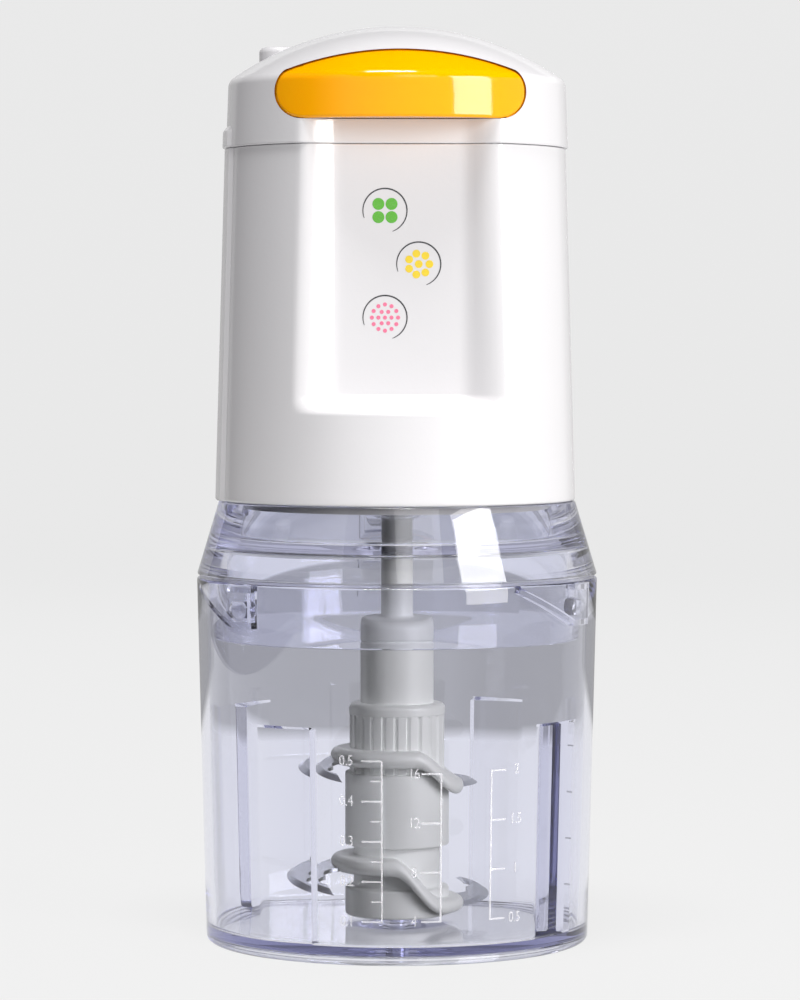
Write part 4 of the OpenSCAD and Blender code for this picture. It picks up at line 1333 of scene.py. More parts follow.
@dataclass
class ClearBowl:
    """Clear bowl with foot ring, saw-tooth baffles and bayonet channels."""

    wall: float = 2.6
    taper: float = 2.7
    foot_h: float = 2.7
    foot_w: float = 3.4
    floor_z: float = 5.2
    base_round: float = 2.0
    boss_r: float = 6.5
    boss_low_z: float = 0.8
    boss_top_z: float = 6.9
    bore_gap: float = 0.02
    baffles: int = 4
    crest_deg: float = -28.0
    ramp_deg: float = 18.0
    step: float = 4.0
    step_deg: float = 0.2
    baffle_top_z: float = 68.5
    baffle_edge: float = 0.8
    baffle_reach: float = 4.5
    rib_t: float = 1.7
    rib_in_r: float = 55.1
    rib_root: float = 0.5
    rib_cell: float = 3.0
    rib_mitre: float = 0.5
    channels: int = 3
    channel_low_z: float = 97.0
    channel_top_z: float = 107.3
    lead_down: float = 1.6
    stop_deg: float = 70.9
    flat_deg: float = 61.5
    climb: float = 0.415
    row_h: float = 14.0
    facets: int = 360

    def __post_init__(self) -> None:
        """Take the bowl's rim and the pin's bore from the frame."""
        high = span("bowl")[1]
        self.rim_r, self.rim_z = high.x, high.z
        self.base_r = self.rim_r - self.taper
        low, top = span("blade_pin")
        self.bore_r, self.bore_z = (top.x - low.x) / 2 + self.bore_gap, low.z - self.bore_gap

    def outer_r(self, z: float) -> float:
        """Outer radius at a height."""
        return self.base_r + self.taper * z / self.rim_z

    def section(self) -> Outline:
        """Half section from the axis under the floor round to the axis above it.

        Returns:
            The section's points.
        """
        in_r = self.outer_r(self.floor_z) - self.wall
        ledge_z = self.baffle_top_z - self.baffle_edge
        return rounded([
            (0, self.boss_low_z, 0), (self.boss_r, self.boss_low_z, 0.5), (self.boss_r, self.foot_h, 0.6),
            (self.base_r - self.foot_w, self.foot_h, 0.8), (self.base_r - self.foot_w, 0, 0.7),
            (self.base_r, 0, self.base_round), (self.rim_r, self.rim_z, 0.6),
            (self.rim_r - self.wall, self.rim_z, 0.6),
            (self.outer_r(self.baffle_top_z) - self.wall, self.baffle_top_z, 0),
            (self.outer_r(ledge_z) - self.wall, ledge_z, 0),
            (in_r, self.floor_z, 1.2), (self.boss_r, self.floor_z, 0.6),
            (self.boss_r, self.boss_top_z, 0.5),
            (self.bore_r, self.boss_top_z, 0), (self.bore_r, self.bore_z, 0), (0, self.bore_z, 0),
        ])

    def shaped(self, point: Vector) -> Vector:
        """A point of the plain bowl, moved in where it lies on a baffle.

        Args:
            point: The point.

        Returns:
            Its new place.
        """
        outer, radius = self.outer_r(point.z), point.xy.length
        on_wall = outer - self.baffle_reach < radius < outer - self.wall / 2
        if not on_wall or not self.floor_z - NEAR < point.z <= self.baffle_top_z - NEAR:
            return point
        turn, pitch = turn_of(point), 360 / self.baffles
        past = (turn - self.crest_deg + pitch / 2) % pitch - pitch / 2
        if NEAR < past < 360 / self.facets + NEAR:
            turn += self.step_deg - past
        ramp = 1 + past / self.ramp_deg
        depth = self.step * ramp if past < NEAR and ramp > 0 else 0.0
        return round_the_axis(turn, radius - depth, point.z)

    def channel(self) -> Piece:
        """One bayonet channel: a rib that climbs to the rim, with a stop and an upper rib.

        Returns:
            The channel.
        """
        half, out_r = self.rib_t / 2, self.rim_r - self.wall + self.rib_root
        low_z, top_z, lead_z = self.channel_low_z, self.channel_top_z, self.rim_z - self.lead_down
        lead_deg = self.flat_deg - (lead_z - low_z) / self.climb
        upper_deg = self.flat_deg - (lead_z - top_z) / self.climb
        path = divided([
            (lead_deg, lead_z), (self.flat_deg, low_z), (self.stop_deg, low_z), (self.stop_deg, top_z),
            (self.flat_deg, top_z), (upper_deg, lead_z),
        ], self.rib_cell, closed=False)
        flat = [Vector((math.radians(turn) * out_r, z)) for turn, z in path]
        count = len(flat) - 1
        sides = []
        for i, here in enumerate(flat):
            back = (here - flat[i - 1]).normalized() if i else (flat[1] - here).normalized()
            ahead = (flat[i + 1] - here).normalized() if i < count else back
            along = (back + ahead).normalized()
            reach = half / max(along.dot(ahead), self.rib_mitre)
            sides.append(Vector((-along.y, along.x)) * reach)

        def place(across: float, along: float) -> Vector:
            """Point on the rib's outer side.

            Args:
                across: Share of the way along the channel, -1 to 1.
                along: Side of the rib, -1 or 1.

            Returns:
                The point.
            """
            index = round((across + 1) / 2 * count)
            spot = flat[index] + sides[index] * along
            return round_the_axis(math.degrees(spot.x / out_r), out_r, spot.y)

        rib = Bench.sheet("channel_rib", count, 1, place)
        return Bench.thicken(rib, lambda point: round_the_axis(turn_of(point), self.rib_in_r, point.z))

    def crease(self, bowl: Piece) -> None:
        """Keep the ledges of the baffles sharp all round, also where a baffle fades out.

        Args:
            bowl: The bowl's mesh.
        """
        ledges = (self.baffle_top_z, self.baffle_top_z - self.baffle_edge)
        points = bowl.data.vertices
        for edge in bowl.data.edges:
            ends = [points[i].co for i in edge.vertices]
            within = all(end.xy.length < self.outer_r(end.z) - self.wall / 2 for end in ends)
            level = any(all(abs(end.z - z) < WELD for end in ends) for z in ledges)
            edge.use_edge_sharp = within and level

    def build(self) -> None:
        """Model and dress the bowl."""
        section = divided(self.section(), self.row_h, closed=False)
        bowl = Bench.lathe("clear_bowl", section, self.facets)
        Bench.reshape(bowl, self.shaped)
        ribs = Bench.copies(self.channel(), [i * 360 / self.channels for i in range(self.channels)])
        Bench.combine(bowl, ribs, Join.ADD)
        self.crease(bowl)
        Bench.settle(bowl, "bowl", Finishes.BOWL, ["bowl"], smooth_deg=30.0)
        bowl.visible_shadow = False


@dataclass(frozen=True)
class FillingLine:
    """One upright line of the filling marks; its ticks point left where their length is negative."""

    x: float
    tick_w: float
    number_x: float
    top_z: float
    numbers: tuple[str, ...]
    halves: bool = False


@dataclass
class BowlScale:
    """Raised filling marks on the bowl's wall: three upright lines with ticks and plain numbers."""

    bowl: ClearBowl
    proud: float = 0.22
    sunk: float = 0.05
    stroke: float = 0.5
    half_stroke: float = 0.4
    half_tick: float = 0.52
    cell_deg: float = 1.5
    text_size: float = 4.32
    text_narrow: float = 0.8
    text_up: float = 0.4
    text_chords: int = 3
    low_z: float = 13.0
    turn_deg: float = -1.7
    lines: tuple[FillingLine, ...] = (
        FillingLine(-4.5, -5.5, -14.3, 59.5, ("0.1", "0.2", "0.3", "0.4", "0.5"), halves=True),
        FillingLine(12.3, -5.4, 4.9, 55.8, ("4", "8", "12", "16")),
        FillingLine(26.6, 4.4, 34.0, 56.2, ("0.5", "1", "1.5", "2")),
    )

    def strip(self, turn0: float, turn1: float, z0: float, z1: float) -> Piece:
        """Raised strip on the wall between two angles and two heights.

        Args:
            turn0: First angle from the front, in degrees.
            turn1: Last angle.
            z0: Lower height.
            z1: Upper height.

        Returns:
            The strip.
        """

        def place(across: float, up: float) -> Vector:
            """Point of the strip's back.

            Args:
                across: Share across, -1 to 1.
                up: Share up, -1 to 1.

            Returns:
                The point.
            """
            z = z0 + (z1 - z0) * (up + 1) / 2
            turn = turn0 + (turn1 - turn0) * (across + 1) / 2
            return round_the_axis(turn, self.bowl.outer_r(z) - self.sunk, z)

        cells = max(1, round(abs(turn1 - turn0) / self.cell_deg))
        strip = Bench.sheet("scale_strip", cells, 1, place)
        return Bench.thicken(
            strip, lambda point: round_the_axis(turn_of(point), point.xy.length + self.proud, point.z)
        )

    def across(self, x: float) -> float:
        """Angle of a place across the bowl's front, in degrees."""
        return self.turn_deg + math.degrees(math.asin(x / self.bowl.outer_r(self.low_z)))

    def number(self, digits: str, x: float, z: float) -> Piece:
        """Raised number wrapped on the wall.

        Args:
            digits: The number's digits.
            x: Middle of the number across the front.
            z: Middle of the number.

        Returns:
            The number as a mesh.
        """
        Bench.clear()
        bpy.ops.object.text_add()
        text = bpy.context.object
        text.data.body = digits
        text.data.align_x = "CENTER"
        text.data.align_y = "CENTER"
        text.data.size = self.text_size
        text.data.extrude = self.proud / 2
        text.data.resolution_u = self.text_chords
        bpy.ops.object.convert(target="MESH")
        number = bpy.context.object
        middle = self.across(x)

        def wrap(point: Vector) -> Vector:
            """Place on the wall of a point of the flat number.

            Args:
                point: The point.

            Returns:
                Its new place.
            """
            height = z + point.y
            radius = self.bowl.outer_r(height)
            turn = middle + math.degrees(point.x * self.text_narrow / radius)
            return round_the_axis(turn, radius + self.proud * self.text_up + point.z, height)

        Bench.reshape(number, wrap)
        return number

    def scale(self, line: FillingLine) -> list[Piece]:
        """One upright line with its ticks and numbers.

        Args:
            line: The line.

        Returns:
            Its strips and numbers.
        """
        turn, half = self.across(line.x), self.stroke / 2
        width = math.degrees(self.stroke / self.bowl.outer_r(self.low_z))
        made = [self.strip(turn, turn + width, self.low_z - half, line.top_z)]
        rise = (line.top_z - self.low_z) / (len(line.numbers) - 1)
        far, near = self.across(line.x + line.tick_w), self.across(line.x + line.tick_w * self.half_tick)
        for i, digits in enumerate(line.numbers):
            z = self.low_z + i * rise
            made.append(self.strip(far, turn, z - half, z + half))
            made.append(self.number(digits, line.number_x, z))
            if line.halves and i < len(line.numbers) - 1:
                low_z = z + rise / 2 - self.half_stroke / 2
                made.append(self.strip(near, turn, low_z, low_z + self.half_stroke))
        return made

    def build(self) -> None:
        """Model and dress the three scales."""
        marks = Bench.joined([piece for line in self.lines for piece in self.scale(line)])
        marks.name = "bowl_scale"
        Bench.settle(marks, "bowl", Finishes.MARKS, smooth_deg=30.0)
        marks.visible_shadow = False


@dataclass
class ClearLid:
    """Clear lid: conical shoulder, skirt with bayonet bosses, floor with a collar, keyed well."""

    shoulder_h: float = 21.9
    floor_up: float = 7.7
    floor_t: float = 2.2
    skirt_r: float = 54.6
    skirt_t: float = 2.4
    top_r: float = 53.4
    well_wall: float = 3.4
    collar_r: float = 5.4
    collar_t: float = 1.9
    collar_reach: float = 2.4
    bosses: int = 3
    boss_turn: float = 65.0
    boss_w: float = 9.0
    boss_h: float = 4.8
    boss_z: float = 101.4
    boss_out_r: float = 56.7
    boss_root: float = 1.0
    boss_edge: float = 0.4
    key_w: float = 8.0
    key_d: float = 2.4
    key_root: float = 0.8
    key_lap: float = 0.5
    key_turns: tuple[float, float] = (90.0, 270.0)
    row_h: float = 10.0
    facets: int = 288

    def __post_init__(self) -> None:
        """Take the lid's ends and width from the frame."""
        low, high = span("lid")
        self.low_z, self.top_z, self.wide_r = low.z, high.z, high.y
        self.edge_z = self.top_z - self.shoulder_h
        self.floor_z = self.edge_z + self.floor_up

    def section(self) -> Outline:
        """Closed half section.

        Returns:
            The section's points.
        """
        skirt_in, well_r = self.skirt_r - self.skirt_t, self.top_r - self.well_wall
        collar_out, floor_top = self.collar_r + self.collar_t, self.floor_z + self.floor_t
        return rounded([
            (self.collar_r, self.floor_z - self.collar_reach, 0.3),
            (collar_out, self.floor_z - self.collar_reach, 0.3), (collar_out, self.floor_z, 0.8),
            (skirt_in, self.floor_z, 1.6), (skirt_in, self.low_z, 0.6), (self.skirt_r, self.low_z, 0.6),
            (self.skirt_r, self.edge_z, 0.4), (self.wide_r, self.edge_z, 0.45),
            (self.top_r, self.top_z, 0.5),
            (well_r, self.top_z, 0.5), (well_r, floor_top, 1.6), (collar_out, floor_top, 0.8),
            (collar_out, floor_top + self.collar_reach, 0.3),
            (self.collar_r, floor_top + self.collar_reach, 0.3),
        ])

    def boss(self) -> Piece:
        """One oval bayonet boss on the skirt, at the front before it is turned to its place.

        Returns:
            The boss.
        """
        half_h = self.boss_h / 2
        outline = block(self.boss_w / 2, self.boss_z - half_h, self.boss_z + half_h, half_h * ROUND_END)
        boss = Bench.prism("lid_boss", outline, -self.boss_out_r, -(self.skirt_r - self.boss_root))
        Bench.soften(boss, self.boss_edge)
        return boss

    def key(self) -> Piece:
        """One block in the well that keeps the motor unit from turning.

        Returns:
            The block.
        """
        well_r = self.top_r - self.well_wall
        low = self.floor_z + self.floor_t - self.key_lap
        outline = block(self.key_w / 2, low, self.top_z - self.key_lap)
        return Bench.prism("lid_key", outline, -(well_r + self.key_root), -(well_r - self.key_d))

    def build(self) -> None:
        """Model and dress the lid."""
        lid = Bench.lathe("clear_lid", divided(self.section(), self.row_h), self.facets)
        turns = [self.boss_turn + i * 360 / self.bosses for i in range(self.bosses)]
        Bench.combine(lid, Bench.copies(self.boss(), turns), Join.ADD)
        Bench.combine(lid, Bench.copies(self.key(), self.key_turns), Join.ADD)
        Bench.settle(lid, "lid", Finishes.LID, ["lid"], smooth_deg=30.0)
        lid.visible_shadow = False


@dataclass(frozen=True)
class Wave:
    """Course of a wavy disc: its two heights above the carrier's foot, and where it falls between them."""

    left_up: float
    right_up: float
    start_x: float
    end_x: float


@dataclass
class BladeSpindle:
    """Grey spindle: shaft with its neck and tang, and two carriers with wavy flanges."""

    core_r: float = 8.0
    hub_r: float = 15.6
    waist_r: float = 13.0
    shoulder_r: float = 11.0
    shoulder_h: float = 24.3
    neck_r: float = 4.8
    groove_down: float = 3.3
    groove: float = 0.4
    tang_t: float = 3.2
    tang_h: float = 8.4
    tang_share: float = 0.96
    tang_lap: float = 0.5
    tang_edge: float = 0.4
    grip_r: float = 14.45
    grip_band: float = 3.4
    lower_drum_h: float = 9.0
    upper_drum_h: float = 21.9
    flutes: int = 24
    flute_d: float = 1.1
    flute_share: float = 0.36
    flute_reach: float = 1.0
    flute_clear: float = 0.1
    flute_foot: float = 0.4
    flute_head: float = 0.5
    land_in: float = 0.2
    flange_t: float = 5.0
    flange_round: float = 0.97
    flange_lap: float = 1.0
    flange_row: float = 1.5
    lower_wave: Wave = Wave(16.2, 3.6, -2.0, 14.0)
    upper_wave: Wave = Wave(26.7, 17.6, 5.0, 19.0)
    facets: int = 240
    shaft_facets: int = 96
    row_h: float = 3.0
    shaft_row: float = 4.0

    def __post_init__(self) -> None:
        """Take the heights from the frame."""
        low, high = span("lower_blade_hub")
        self.foot_z, self.waist_top_z, self.flange_r = low.z, high.z, high.x
        self.grip_top_z = span("upper_blade_hub")[1].z
        self.tang_top_z = span("blade_shaft")[1].z

    def flange(self, base_z: float, wave: Wave) -> Piece:
        """Wavy disc with a round edge: level on the left, then down to the right.

        Args:
            base_z: Lower end of the carrier.
            wave: The disc's course.

        Returns:
            The disc.
        """
        half, root_r = self.flange_t / 2, self.core_r + self.flange_lap
        high_z, low_z = base_z + wave.left_up, base_z + wave.right_up
        outline = rounded([
            (root_r, -half, 0), (self.flange_r, -half, half * self.flange_round),
            (self.flange_r, half, half * self.flange_round), (root_r, half, 0),
        ])
        disc = Bench.lathe("wavy_flange", divided(outline, self.flange_row), self.facets)

        def lift(point: Vector) -> Vector:
            """Place on the wave of a point of the level disc.

            Args:
                point: The point.

            Returns:
                Its new place.
            """
            share = min(max((point.x - wave.start_x) / (wave.end_x - wave.start_x), 0.0), 1.0)
            fall = 0.5 - 0.5 * math.cos(math.pi * share)
            return Vector((point.x, point.y, point.z + high_z + (low_z - high_z) * fall))

        Bench.reshape(disc, lift)
        return disc

    def lower_carrier(self) -> None:
        """Model and dress the lower carrier."""
        drum_z = self.foot_z + self.lower_drum_h
        outline = rounded([
            (self.core_r, self.foot_z, 0), (self.hub_r, self.foot_z, 0.8), (self.hub_r, drum_z, 0.8),
            (self.waist_r, drum_z, 0.8), (self.waist_r, self.waist_top_z, 0.2),
            (self.core_r, self.waist_top_z, 0),
        ])
        carrier = Bench.lathe("lower_carrier", divided(outline, self.row_h), self.facets)
        Bench.combine(carrier, self.flange(self.foot_z, self.lower_wave), Join.ADD)
        Bench.settle(carrier, "blade", Finishes.GREY, ["lower_blade_hub"], smooth_deg=38.0)

    def fluted(self, point: Vector) -> Vector:
        """A point of the plain grip, moved in where it lies in a flute.

        Args:
            point: The point.

        Returns:
            Its new place.
        """
        low_z = self.waist_top_z + self.upper_drum_h + self.flute_clear
        high_z = self.grip_top_z - self.grip_band - self.flute_clear
        if not low_z < point.z < high_z or point.xy.length <= self.grip_r - self.flute_reach:
            return point
        left = 1 - (turn_of(point) * self.flutes / 360) % 1.0
        depth = self.flute_d * left / self.flute_share if left < self.flute_share else 0.0
        return round_the_axis(turn_of(point), point.xy.length - depth, point.z)

    def upper_carrier(self) -> None:
        """Model and dress the upper carrier with its fluted grip."""
        low, top = self.waist_top_z, self.grip_top_z
        drum_z, band_z = low + self.upper_drum_h, top - self.grip_band
        land_r = self.grip_r - self.land_in
        outline = rounded([
            (self.core_r, low, 0), (self.hub_r, low, 0.35), (self.hub_r, drum_z, 0.6),
            (land_r, drum_z, 0), (land_r, drum_z + self.flute_foot, 0),
            (land_r, band_z - self.flute_head, 0), (land_r, band_z, 0),
            (self.grip_r, band_z + self.land_in, 0), (self.grip_r, top, 1.7), (self.core_r, top, 0),
        ], chord_deg=10.0)
        carrier = Bench.lathe("upper_carrier", divided(outline, self.row_h), self.facets)
        Bench.reshape(carrier, self.fluted)
        Bench.combine(carrier, self.flange(low, self.upper_wave), Join.ADD)
        Bench.settle(carrier, "blade", Finishes.GREY, ["upper_blade_hub"], smooth_deg=30.0)

    def shaft(self) -> None:
        """Model and dress the shaft, from inside the carriers to the drive tang."""
        shoulder_z, tang_z = self.grip_top_z + self.shoulder_h, self.tang_top_z - self.tang_h
        groove_z, groove = shoulder_z - self.groove_down, self.groove
        outline = rounded([
            (0, self.foot_z, 0), (self.core_r, self.foot_z, 0), (self.core_r, self.grip_top_z, 0),
            (self.shoulder_r, self.grip_top_z, 0), (self.shoulder_r, groove_z - groove, 0),
            (self.shoulder_r - groove, groove_z, 0), (self.shoulder_r, groove_z + groove, 0),
            (self.shoulder_r, shoulder_z, 1.3), (self.neck_r, shoulder_z, 0.8),
            (self.neck_r, tang_z, 0.4), (0, tang_z, 0),
        ])
        outline = divided(outline, self.shaft_row, closed=False)
        shaft = Bench.lathe("spindle_shaft", outline, self.shaft_facets)
        half_t = self.tang_t / 2
        sides = block(self.neck_r * self.tang_share, tang_z - self.tang_lap, self.tang_top_z)
        tang = Bench.prism("drive_tang", sides, -half_t, half_t)
        Bench.soften(tang, self.tang_edge)
        Bench.combine(shaft, tang, Join.ADD)
        Bench.settle(shaft, "blade", Finishes.GREY, ["blade_shaft"], smooth_deg=35.0)

    def build(self) -> None:
        """Model and dress the three grey pieces."""
        self.shaft()
        self.lower_carrier()
        self.upper_carrier()


@dataclass
class PanelPrint:
    """Small print on the recess floor: rings of dots from coarse to fine, staggered down the panel."""

    recess: FingerRecess
    up: float = 70.0
    drop: float = 15.5
    left_x: float = -4.6
    right_x: float = 5.2
    thick: float = 0.06
    sunk: float = 0.02
    ring_r: float = 6.4
    ring_deg: tuple[float, float] = (-70.0, 200.0)
    ring_cells: int = 40
    line_w: float = 0.42
    line_end: float = 0.35
    spot_corners: int = 28
    dark: Ink = Ink("ink_dark", "white_plastic", (0.03, 0.03, 0.035))
    green: Ink = Ink("ink_green", "white_plastic", (0.1, 0.42, 0.03))
    yellow: Ink = Ink("ink_yellow", "white_plastic", (0.85, 0.62, 0.02))
    pink: Ink = Ink("ink_pink", "white_plastic", (0.8, 0.17, 0.3))

    def disc(self, x: float, z: float, radius: float) -> Piece:
        """Round spot of ink with a thinned edge.

        Args:
            x: Middle across.
            z: Middle up.
            radius: Radius of the spot.

        Returns:
            The spot.
        """
        face_y, corners = -self.recess.floor_y, self.spot_corners
        round_edge = arc((x, z), radius, 0, 360 - 360 / corners, corners - 1)
        spot = Bench.prism("ink_spot", round_edge, face_y + self.sunk, face_y - self.thick)
        Bench.soften(spot, self.thick / 2, segments=1)
        return spot

    def ring(self, x: float, z: float) -> Piece:
        """Open ring of ink whose line thins towards its ends.

        Args:
            x: Middle across.
            z: Middle up.

        Returns:
            The ring.
        """
        (start, end), back_y = self.ring_deg, -self.recess.floor_y + self.sunk

        def place(along: float, wide: float) -> Vector:
            """Point of the line's back.

            Args:
                along: Share along the line, -1 to 1.
                wide: Side of the line, -1 or 1.

            Returns:
                The point.
            """
            angle = math.radians(start + (end - start) * (along + 1) / 2)
            swell = self.line_end + (1 - self.line_end) * math.sqrt(max(1 - along ** 2, 0.0))
            reach = self.ring_r + wide * self.line_w / 2 * swell
            return Vector((x + reach * math.cos(angle), back_y, z + reach * math.sin(angle)))

        front = Vector((0.0, -self.thick - self.sunk, 0.0))
        line = Bench.sheet("ink_line", self.ring_cells, 1, place)
        return Bench.thicken(line, lambda point: point + front)

    @staticmethod
    def spots(count: int, step_deg: float, reach: float, radius: float, start: float = 0.0) -> list[Corner]:
        """Distance, angle in degrees and radius of spots that stand evenly round a middle."""
        return [(reach, start + step_deg * i, radius) for i in range(count)]

    def cluster(self, x: float, z: float, spots: Sequence[Corner]) -> list[Piece]:
        """Spots round a middle.

        Args:
            x: Middle across.
            z: Middle up.
            spots: Distance, angle in degrees and radius of each spot.

        Returns:
            The spots.
        """
        made = []
        for reach, angle, radius in spots:
            turn = math.radians(angle)
            made.append(self.disc(x + reach * math.cos(turn), z + reach * math.sin(turn), radius))
        return made

    def dress(self, name: str, pieces: list[Piece], ink: Ink) -> None:
        """Join marks of one colour and settle them on the motor unit.

        Args:
            name: Name of the joined piece.
            pieces: The marks.
            ink: Their colour.
        """
        mark = Bench.joined(pieces)
        mark.name = name
        Bench.settle(mark, "motor_unit", ink)

    def build(self, low_z: float) -> None:
        """Model and dress the print.

        Args:
            low_z: Lower edge of the housing.
        """
        middle_z = low_z + self.up
        top = (self.left_x, middle_z + self.drop)
        middle = (self.right_x, middle_z)
        bottom = (self.left_x, middle_z - self.drop)
        coarse = self.spots(4, 90.0, reach=2.7, radius=1.75, start=45.0)
        medium = self.spots(1, 0.0, reach=0.0, radius=1.15) + self.spots(7, 51.4, reach=3.1, radius=1.15)
        fine = self.spots(1, 0.0, reach=0.0, radius=0.6) + self.spots(6, 60.0, reach=1.9, radius=0.6)
        fine += self.spots(12, 30.0, reach=3.8, radius=0.6)
        self.dress("print_lines", [self.ring(*place) for place in (top, middle, bottom)], self.dark)
        self.dress("print_coarse", self.cluster(*top, coarse), self.green)
        self.dress("print_medium", self.cluster(*middle, medium), self.yellow)
        self.dress("print_fine", self.cluster(*bottom, fine), self.pink)


@dataclass(frozen=True)
class Softbox:
    """Rectangular studio light that faces the object's axis."""

    name: str
    turn_deg: float
    up_deg: float
    distance: float
    width: float
    height: float
    watts: float
    colour: Colour = (1.0, 1.0, 1.0)
    aim_z: float = 0.14
    spread_deg: float = 180.0
    mirrored: bool = True

    def place(self) -> None:
        """Hang the light and point it at the object's axis."""
        aim = Vector((0.0, 0.0, self.aim_z))
        up = math.radians(self.up_deg)
        level = round_the_axis(self.turn_deg, self.distance * math.cos(up), 0.0)
        spot = aim + level + Vector((0.0, 0.0, self.distance * math.sin(up)))
        Bench.clear()
        bpy.ops.object.light_add(type="AREA", location=spot)
        lamp = bpy.context.object
        lamp.name = self.name
        lamp.data.shape = "RECTANGLE"
        lamp.data.size = self.width
        lamp.data.size_y = self.height
        lamp.data.energy = self.watts
        lamp.data.color = self.colour
        lamp.data.spread = math.radians(self.spread_deg)
        lamp.rotation_mode = "QUATERNION"
        lamp.rotation_quaternion = (aim - spot).to_track_quat("-Z", "Y")
        lamp.visible_camera = False
        lamp.visible_glossy = self.mirrored
        lamp.visible_transmission = self.mirrored


class Seen(Enum):
    """Which light a card takes part in."""

    ALL = "all of it"
    CLEAR = "mirrored or through clear plastic"
    GLOSS = "mirrored"


@dataclass(frozen=True)
class Card:
    """Upright card beside the set, which tones what clear and glossy plastic shows."""

    name: str
    turn_deg: float
    distance: float
    width: float
    height: float
    finish: StudioPaper
    seen: Seen
    low_z: float = 0.0

    def place(self) -> None:
        """Stand the card up, facing the object."""

        def spot(across: float, up: float) -> Vector:
            """Point of the card.

            Args:
                across: Share across, -1 to 1.
                up: Share up, -1 to 1.

            Returns:
                The point.
            """
            z = self.low_z + self.height * (up + 1) / 2
            level = Vector((across * self.width / 2, -self.distance, z))
            return Matrix.Rotation(math.radians(self.turn_deg), 3, "Z") @ level

        card = Bench.sheet(self.name, 1, 1, spot)
        card.data.materials.append(self.finish.material())
        card.visible_camera = False
        card.visible_diffuse = self.seen is Seen.ALL
        card.visible_shadow = self.seen is Seen.ALL
        card.visible_transmission = self.seen is not Seen.GLOSS


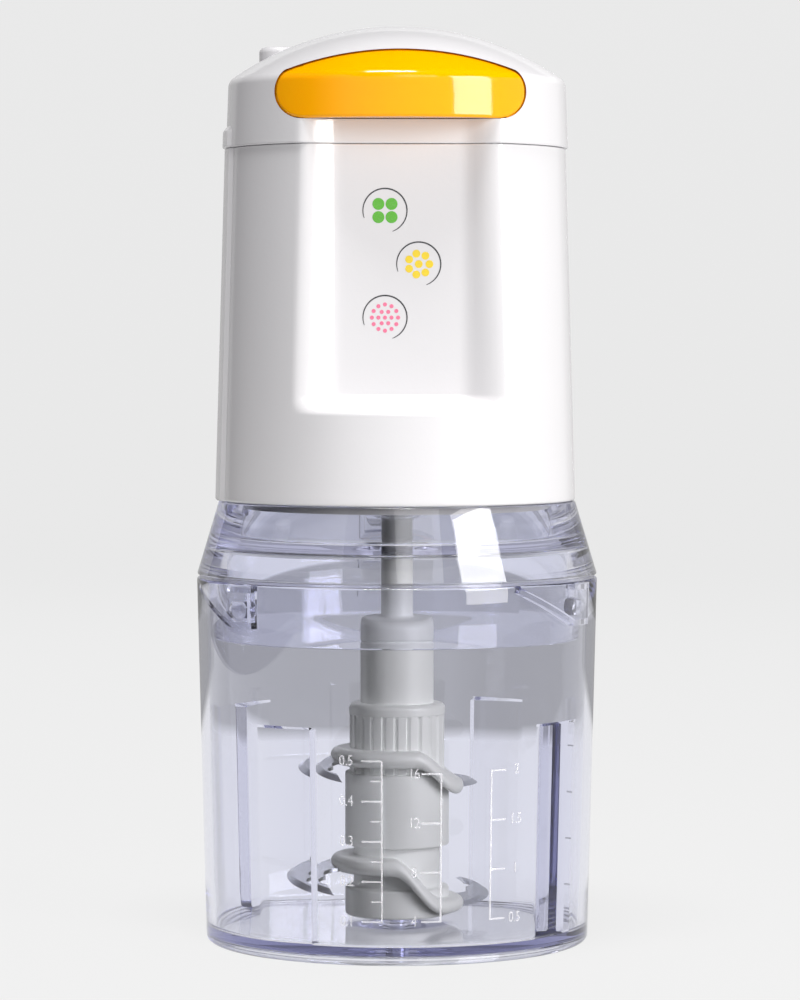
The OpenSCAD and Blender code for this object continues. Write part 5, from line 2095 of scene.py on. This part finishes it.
@dataclass(frozen=True)
class Studio:
    """Pale round room, soft light and the camera."""

    lens: float = 147.6
    sensor: float = 36.0
    farthest: float = 30.0
    distance: float = 1.23
    eye_z: float = 0.183
    eye_x: float = 0.0009
    tilt_deg: float = 2.37
    view_deg: float = -1.7
    room_r: float = 2.8
    room_h: float = 1.5
    cove_r: float = 0.9
    cove_chords: int = 16
    facets: int = 96
    smooth_deg: float = 30.0
    air_colour: Colour = (0.5, 0.5, 0.52)
    light_bounces: int = 48
    gloss_bounces: int = 32
    lights: tuple[Softbox, ...] = (
        Softbox("key_window", 50.0, 15.0, 1.25, 0.6, 0.85, 10.8, (1.0, 0.985, 0.97)),
        Softbox("front_fill", 12.0, 30.0, 2.0, 0.9, 0.7, 5.2),
        Softbox("overhead", -12.0, 78.0, 1.5, 0.5, 0.3, 21.0),
        Softbox(
            "low_fill", -5.0, 6.0, 0.6, 0.2, 0.08, 0.025, aim_z=0.036, spread_deg=24.0, mirrored=False
        ),
        Softbox("back_fill", 190.0, 35.0, 1.6, 0.8, 0.6, 6.0, mirrored=False),
    )
    cards: tuple[Card, ...] = (
        Card("back_card", 180.0, 0.7, 1.2, 0.55, Finishes.CARD, Seen.CLEAR),
        Card("low_card", 180.0, 0.6, 1.2, 0.0735, Finishes.DUSK, Seen.CLEAR),
        Card("left_flag", -92.0, 0.75, 2.3, 1.3, Finishes.FLAG, Seen.ALL),
        Card("window_card", 50.0, 1.15, 0.56, 0.76, Finishes.WINDOW, Seen.GLOSS, 0.1),
    )

    def camera(self) -> None:
        """Place the camera."""
        Bench.clear()
        turn = math.radians(self.view_deg)
        eye = round_the_axis(self.view_deg, self.distance, self.eye_z)
        eye += self.eye_x * Vector((math.cos(turn), math.sin(turn), 0.0))
        bpy.ops.object.camera_add(location=eye)
        camera = bpy.context.object
        camera.name = "camera"
        camera.rotation_euler = (math.radians(90 - self.tilt_deg), 0.0, turn)
        camera.data.sensor_width = self.sensor
        camera.data.lens = self.lens
        camera.data.clip_end = self.farthest
        bpy.context.scene.camera = camera

    def room(self) -> None:
        """Round room, open above, whose floor curves up into its wall."""
        middle = (self.room_r - self.cove_r, self.cove_r)
        cove = arc(middle, self.cove_r, -90.0, 0.0, self.cove_chords)
        outline = [(0.0, 0.0)] + cove + [(self.room_r, self.room_h), (0.0, self.room_h)]
        room = Bench.lathe("pale_room", outline, self.facets)
        with Bench.editing(room):
            bpy.ops.mesh.select_all(action="DESELECT")
        for face in room.data.polygons:
            face.select = face.center.z > self.room_h - WELD
        with Bench.editing(room, whole=False):
            bpy.ops.mesh.delete(type="FACE")
        Bench.focus(room)
        bpy.ops.object.shade_smooth_by_angle(angle=math.radians(self.smooth_deg))
        room.data.materials.append(Finishes.ROOM.material())

    def air(self) -> None:
        """World behind the room, and how the picture treats light."""
        world = bpy.data.worlds.new("studio_air")
        world.color = self.air_colour
        for way in ("camera", "diffuse", "glossy", "scatter"):
            setattr(world.cycles_visibility, way, False)
        scene = bpy.context.scene
        scene.world = world
        scene.view_settings.view_transform = "Standard"
        scene.cycles.max_bounces = self.light_bounces
        scene.cycles.transmission_bounces = self.light_bounces
        scene.cycles.glossy_bounces = self.gloss_bounces
        scene.cycles.transparent_max_bounces = self.gloss_bounces
        scene.cycles.caustics_reflective = False
        scene.cycles.caustics_refractive = False

    def build(self) -> None:
        """Set the whole studio up."""
        self.camera()
        self.room()
        self.air()
        for item in (*self.lights, *self.cards):
            item.place()


def dress_frame(nodes: dict[str, Piece]) -> None:
    """Give every CAD node the finish of its slot.

    Args:
        nodes: The CAD nodes by name.
    """
    by_slot = {finish.slot: finish for finish in Finishes.CAD}
    for name, node in nodes.items():
        slot = node.material_slots[0].material.name.split(".")[0]
        node.material_slots[0].material = by_slot[slot].material()
        LOG.info("%s keeps its solid in %s", name, by_slot[slot].name)


def main() -> None:
    """Build the chopper round the frame."""
    logging.basicConfig(level=logging.INFO, format="%(message)s")
    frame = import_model()
    Studio().build()
    dress_frame(frame["nodes"])
    recess = FingerRecess()
    housing = MotorHousing(recess)
    cap = TopCap(housing)
    bar = PushBar(cap)
    bowl = ClearBowl()
    housing.build()
    cap.build(bar)
    bar.build()
    ClearLid().build()
    bowl.build()
    BowlScale(bowl).build()
    BladeSpindle().build()
    PanelPrint(recess).build(housing.low_z)
    frame["nodes"]["lid_seal"].visible_shadow = False


if __name__ == "__main__":
    main()
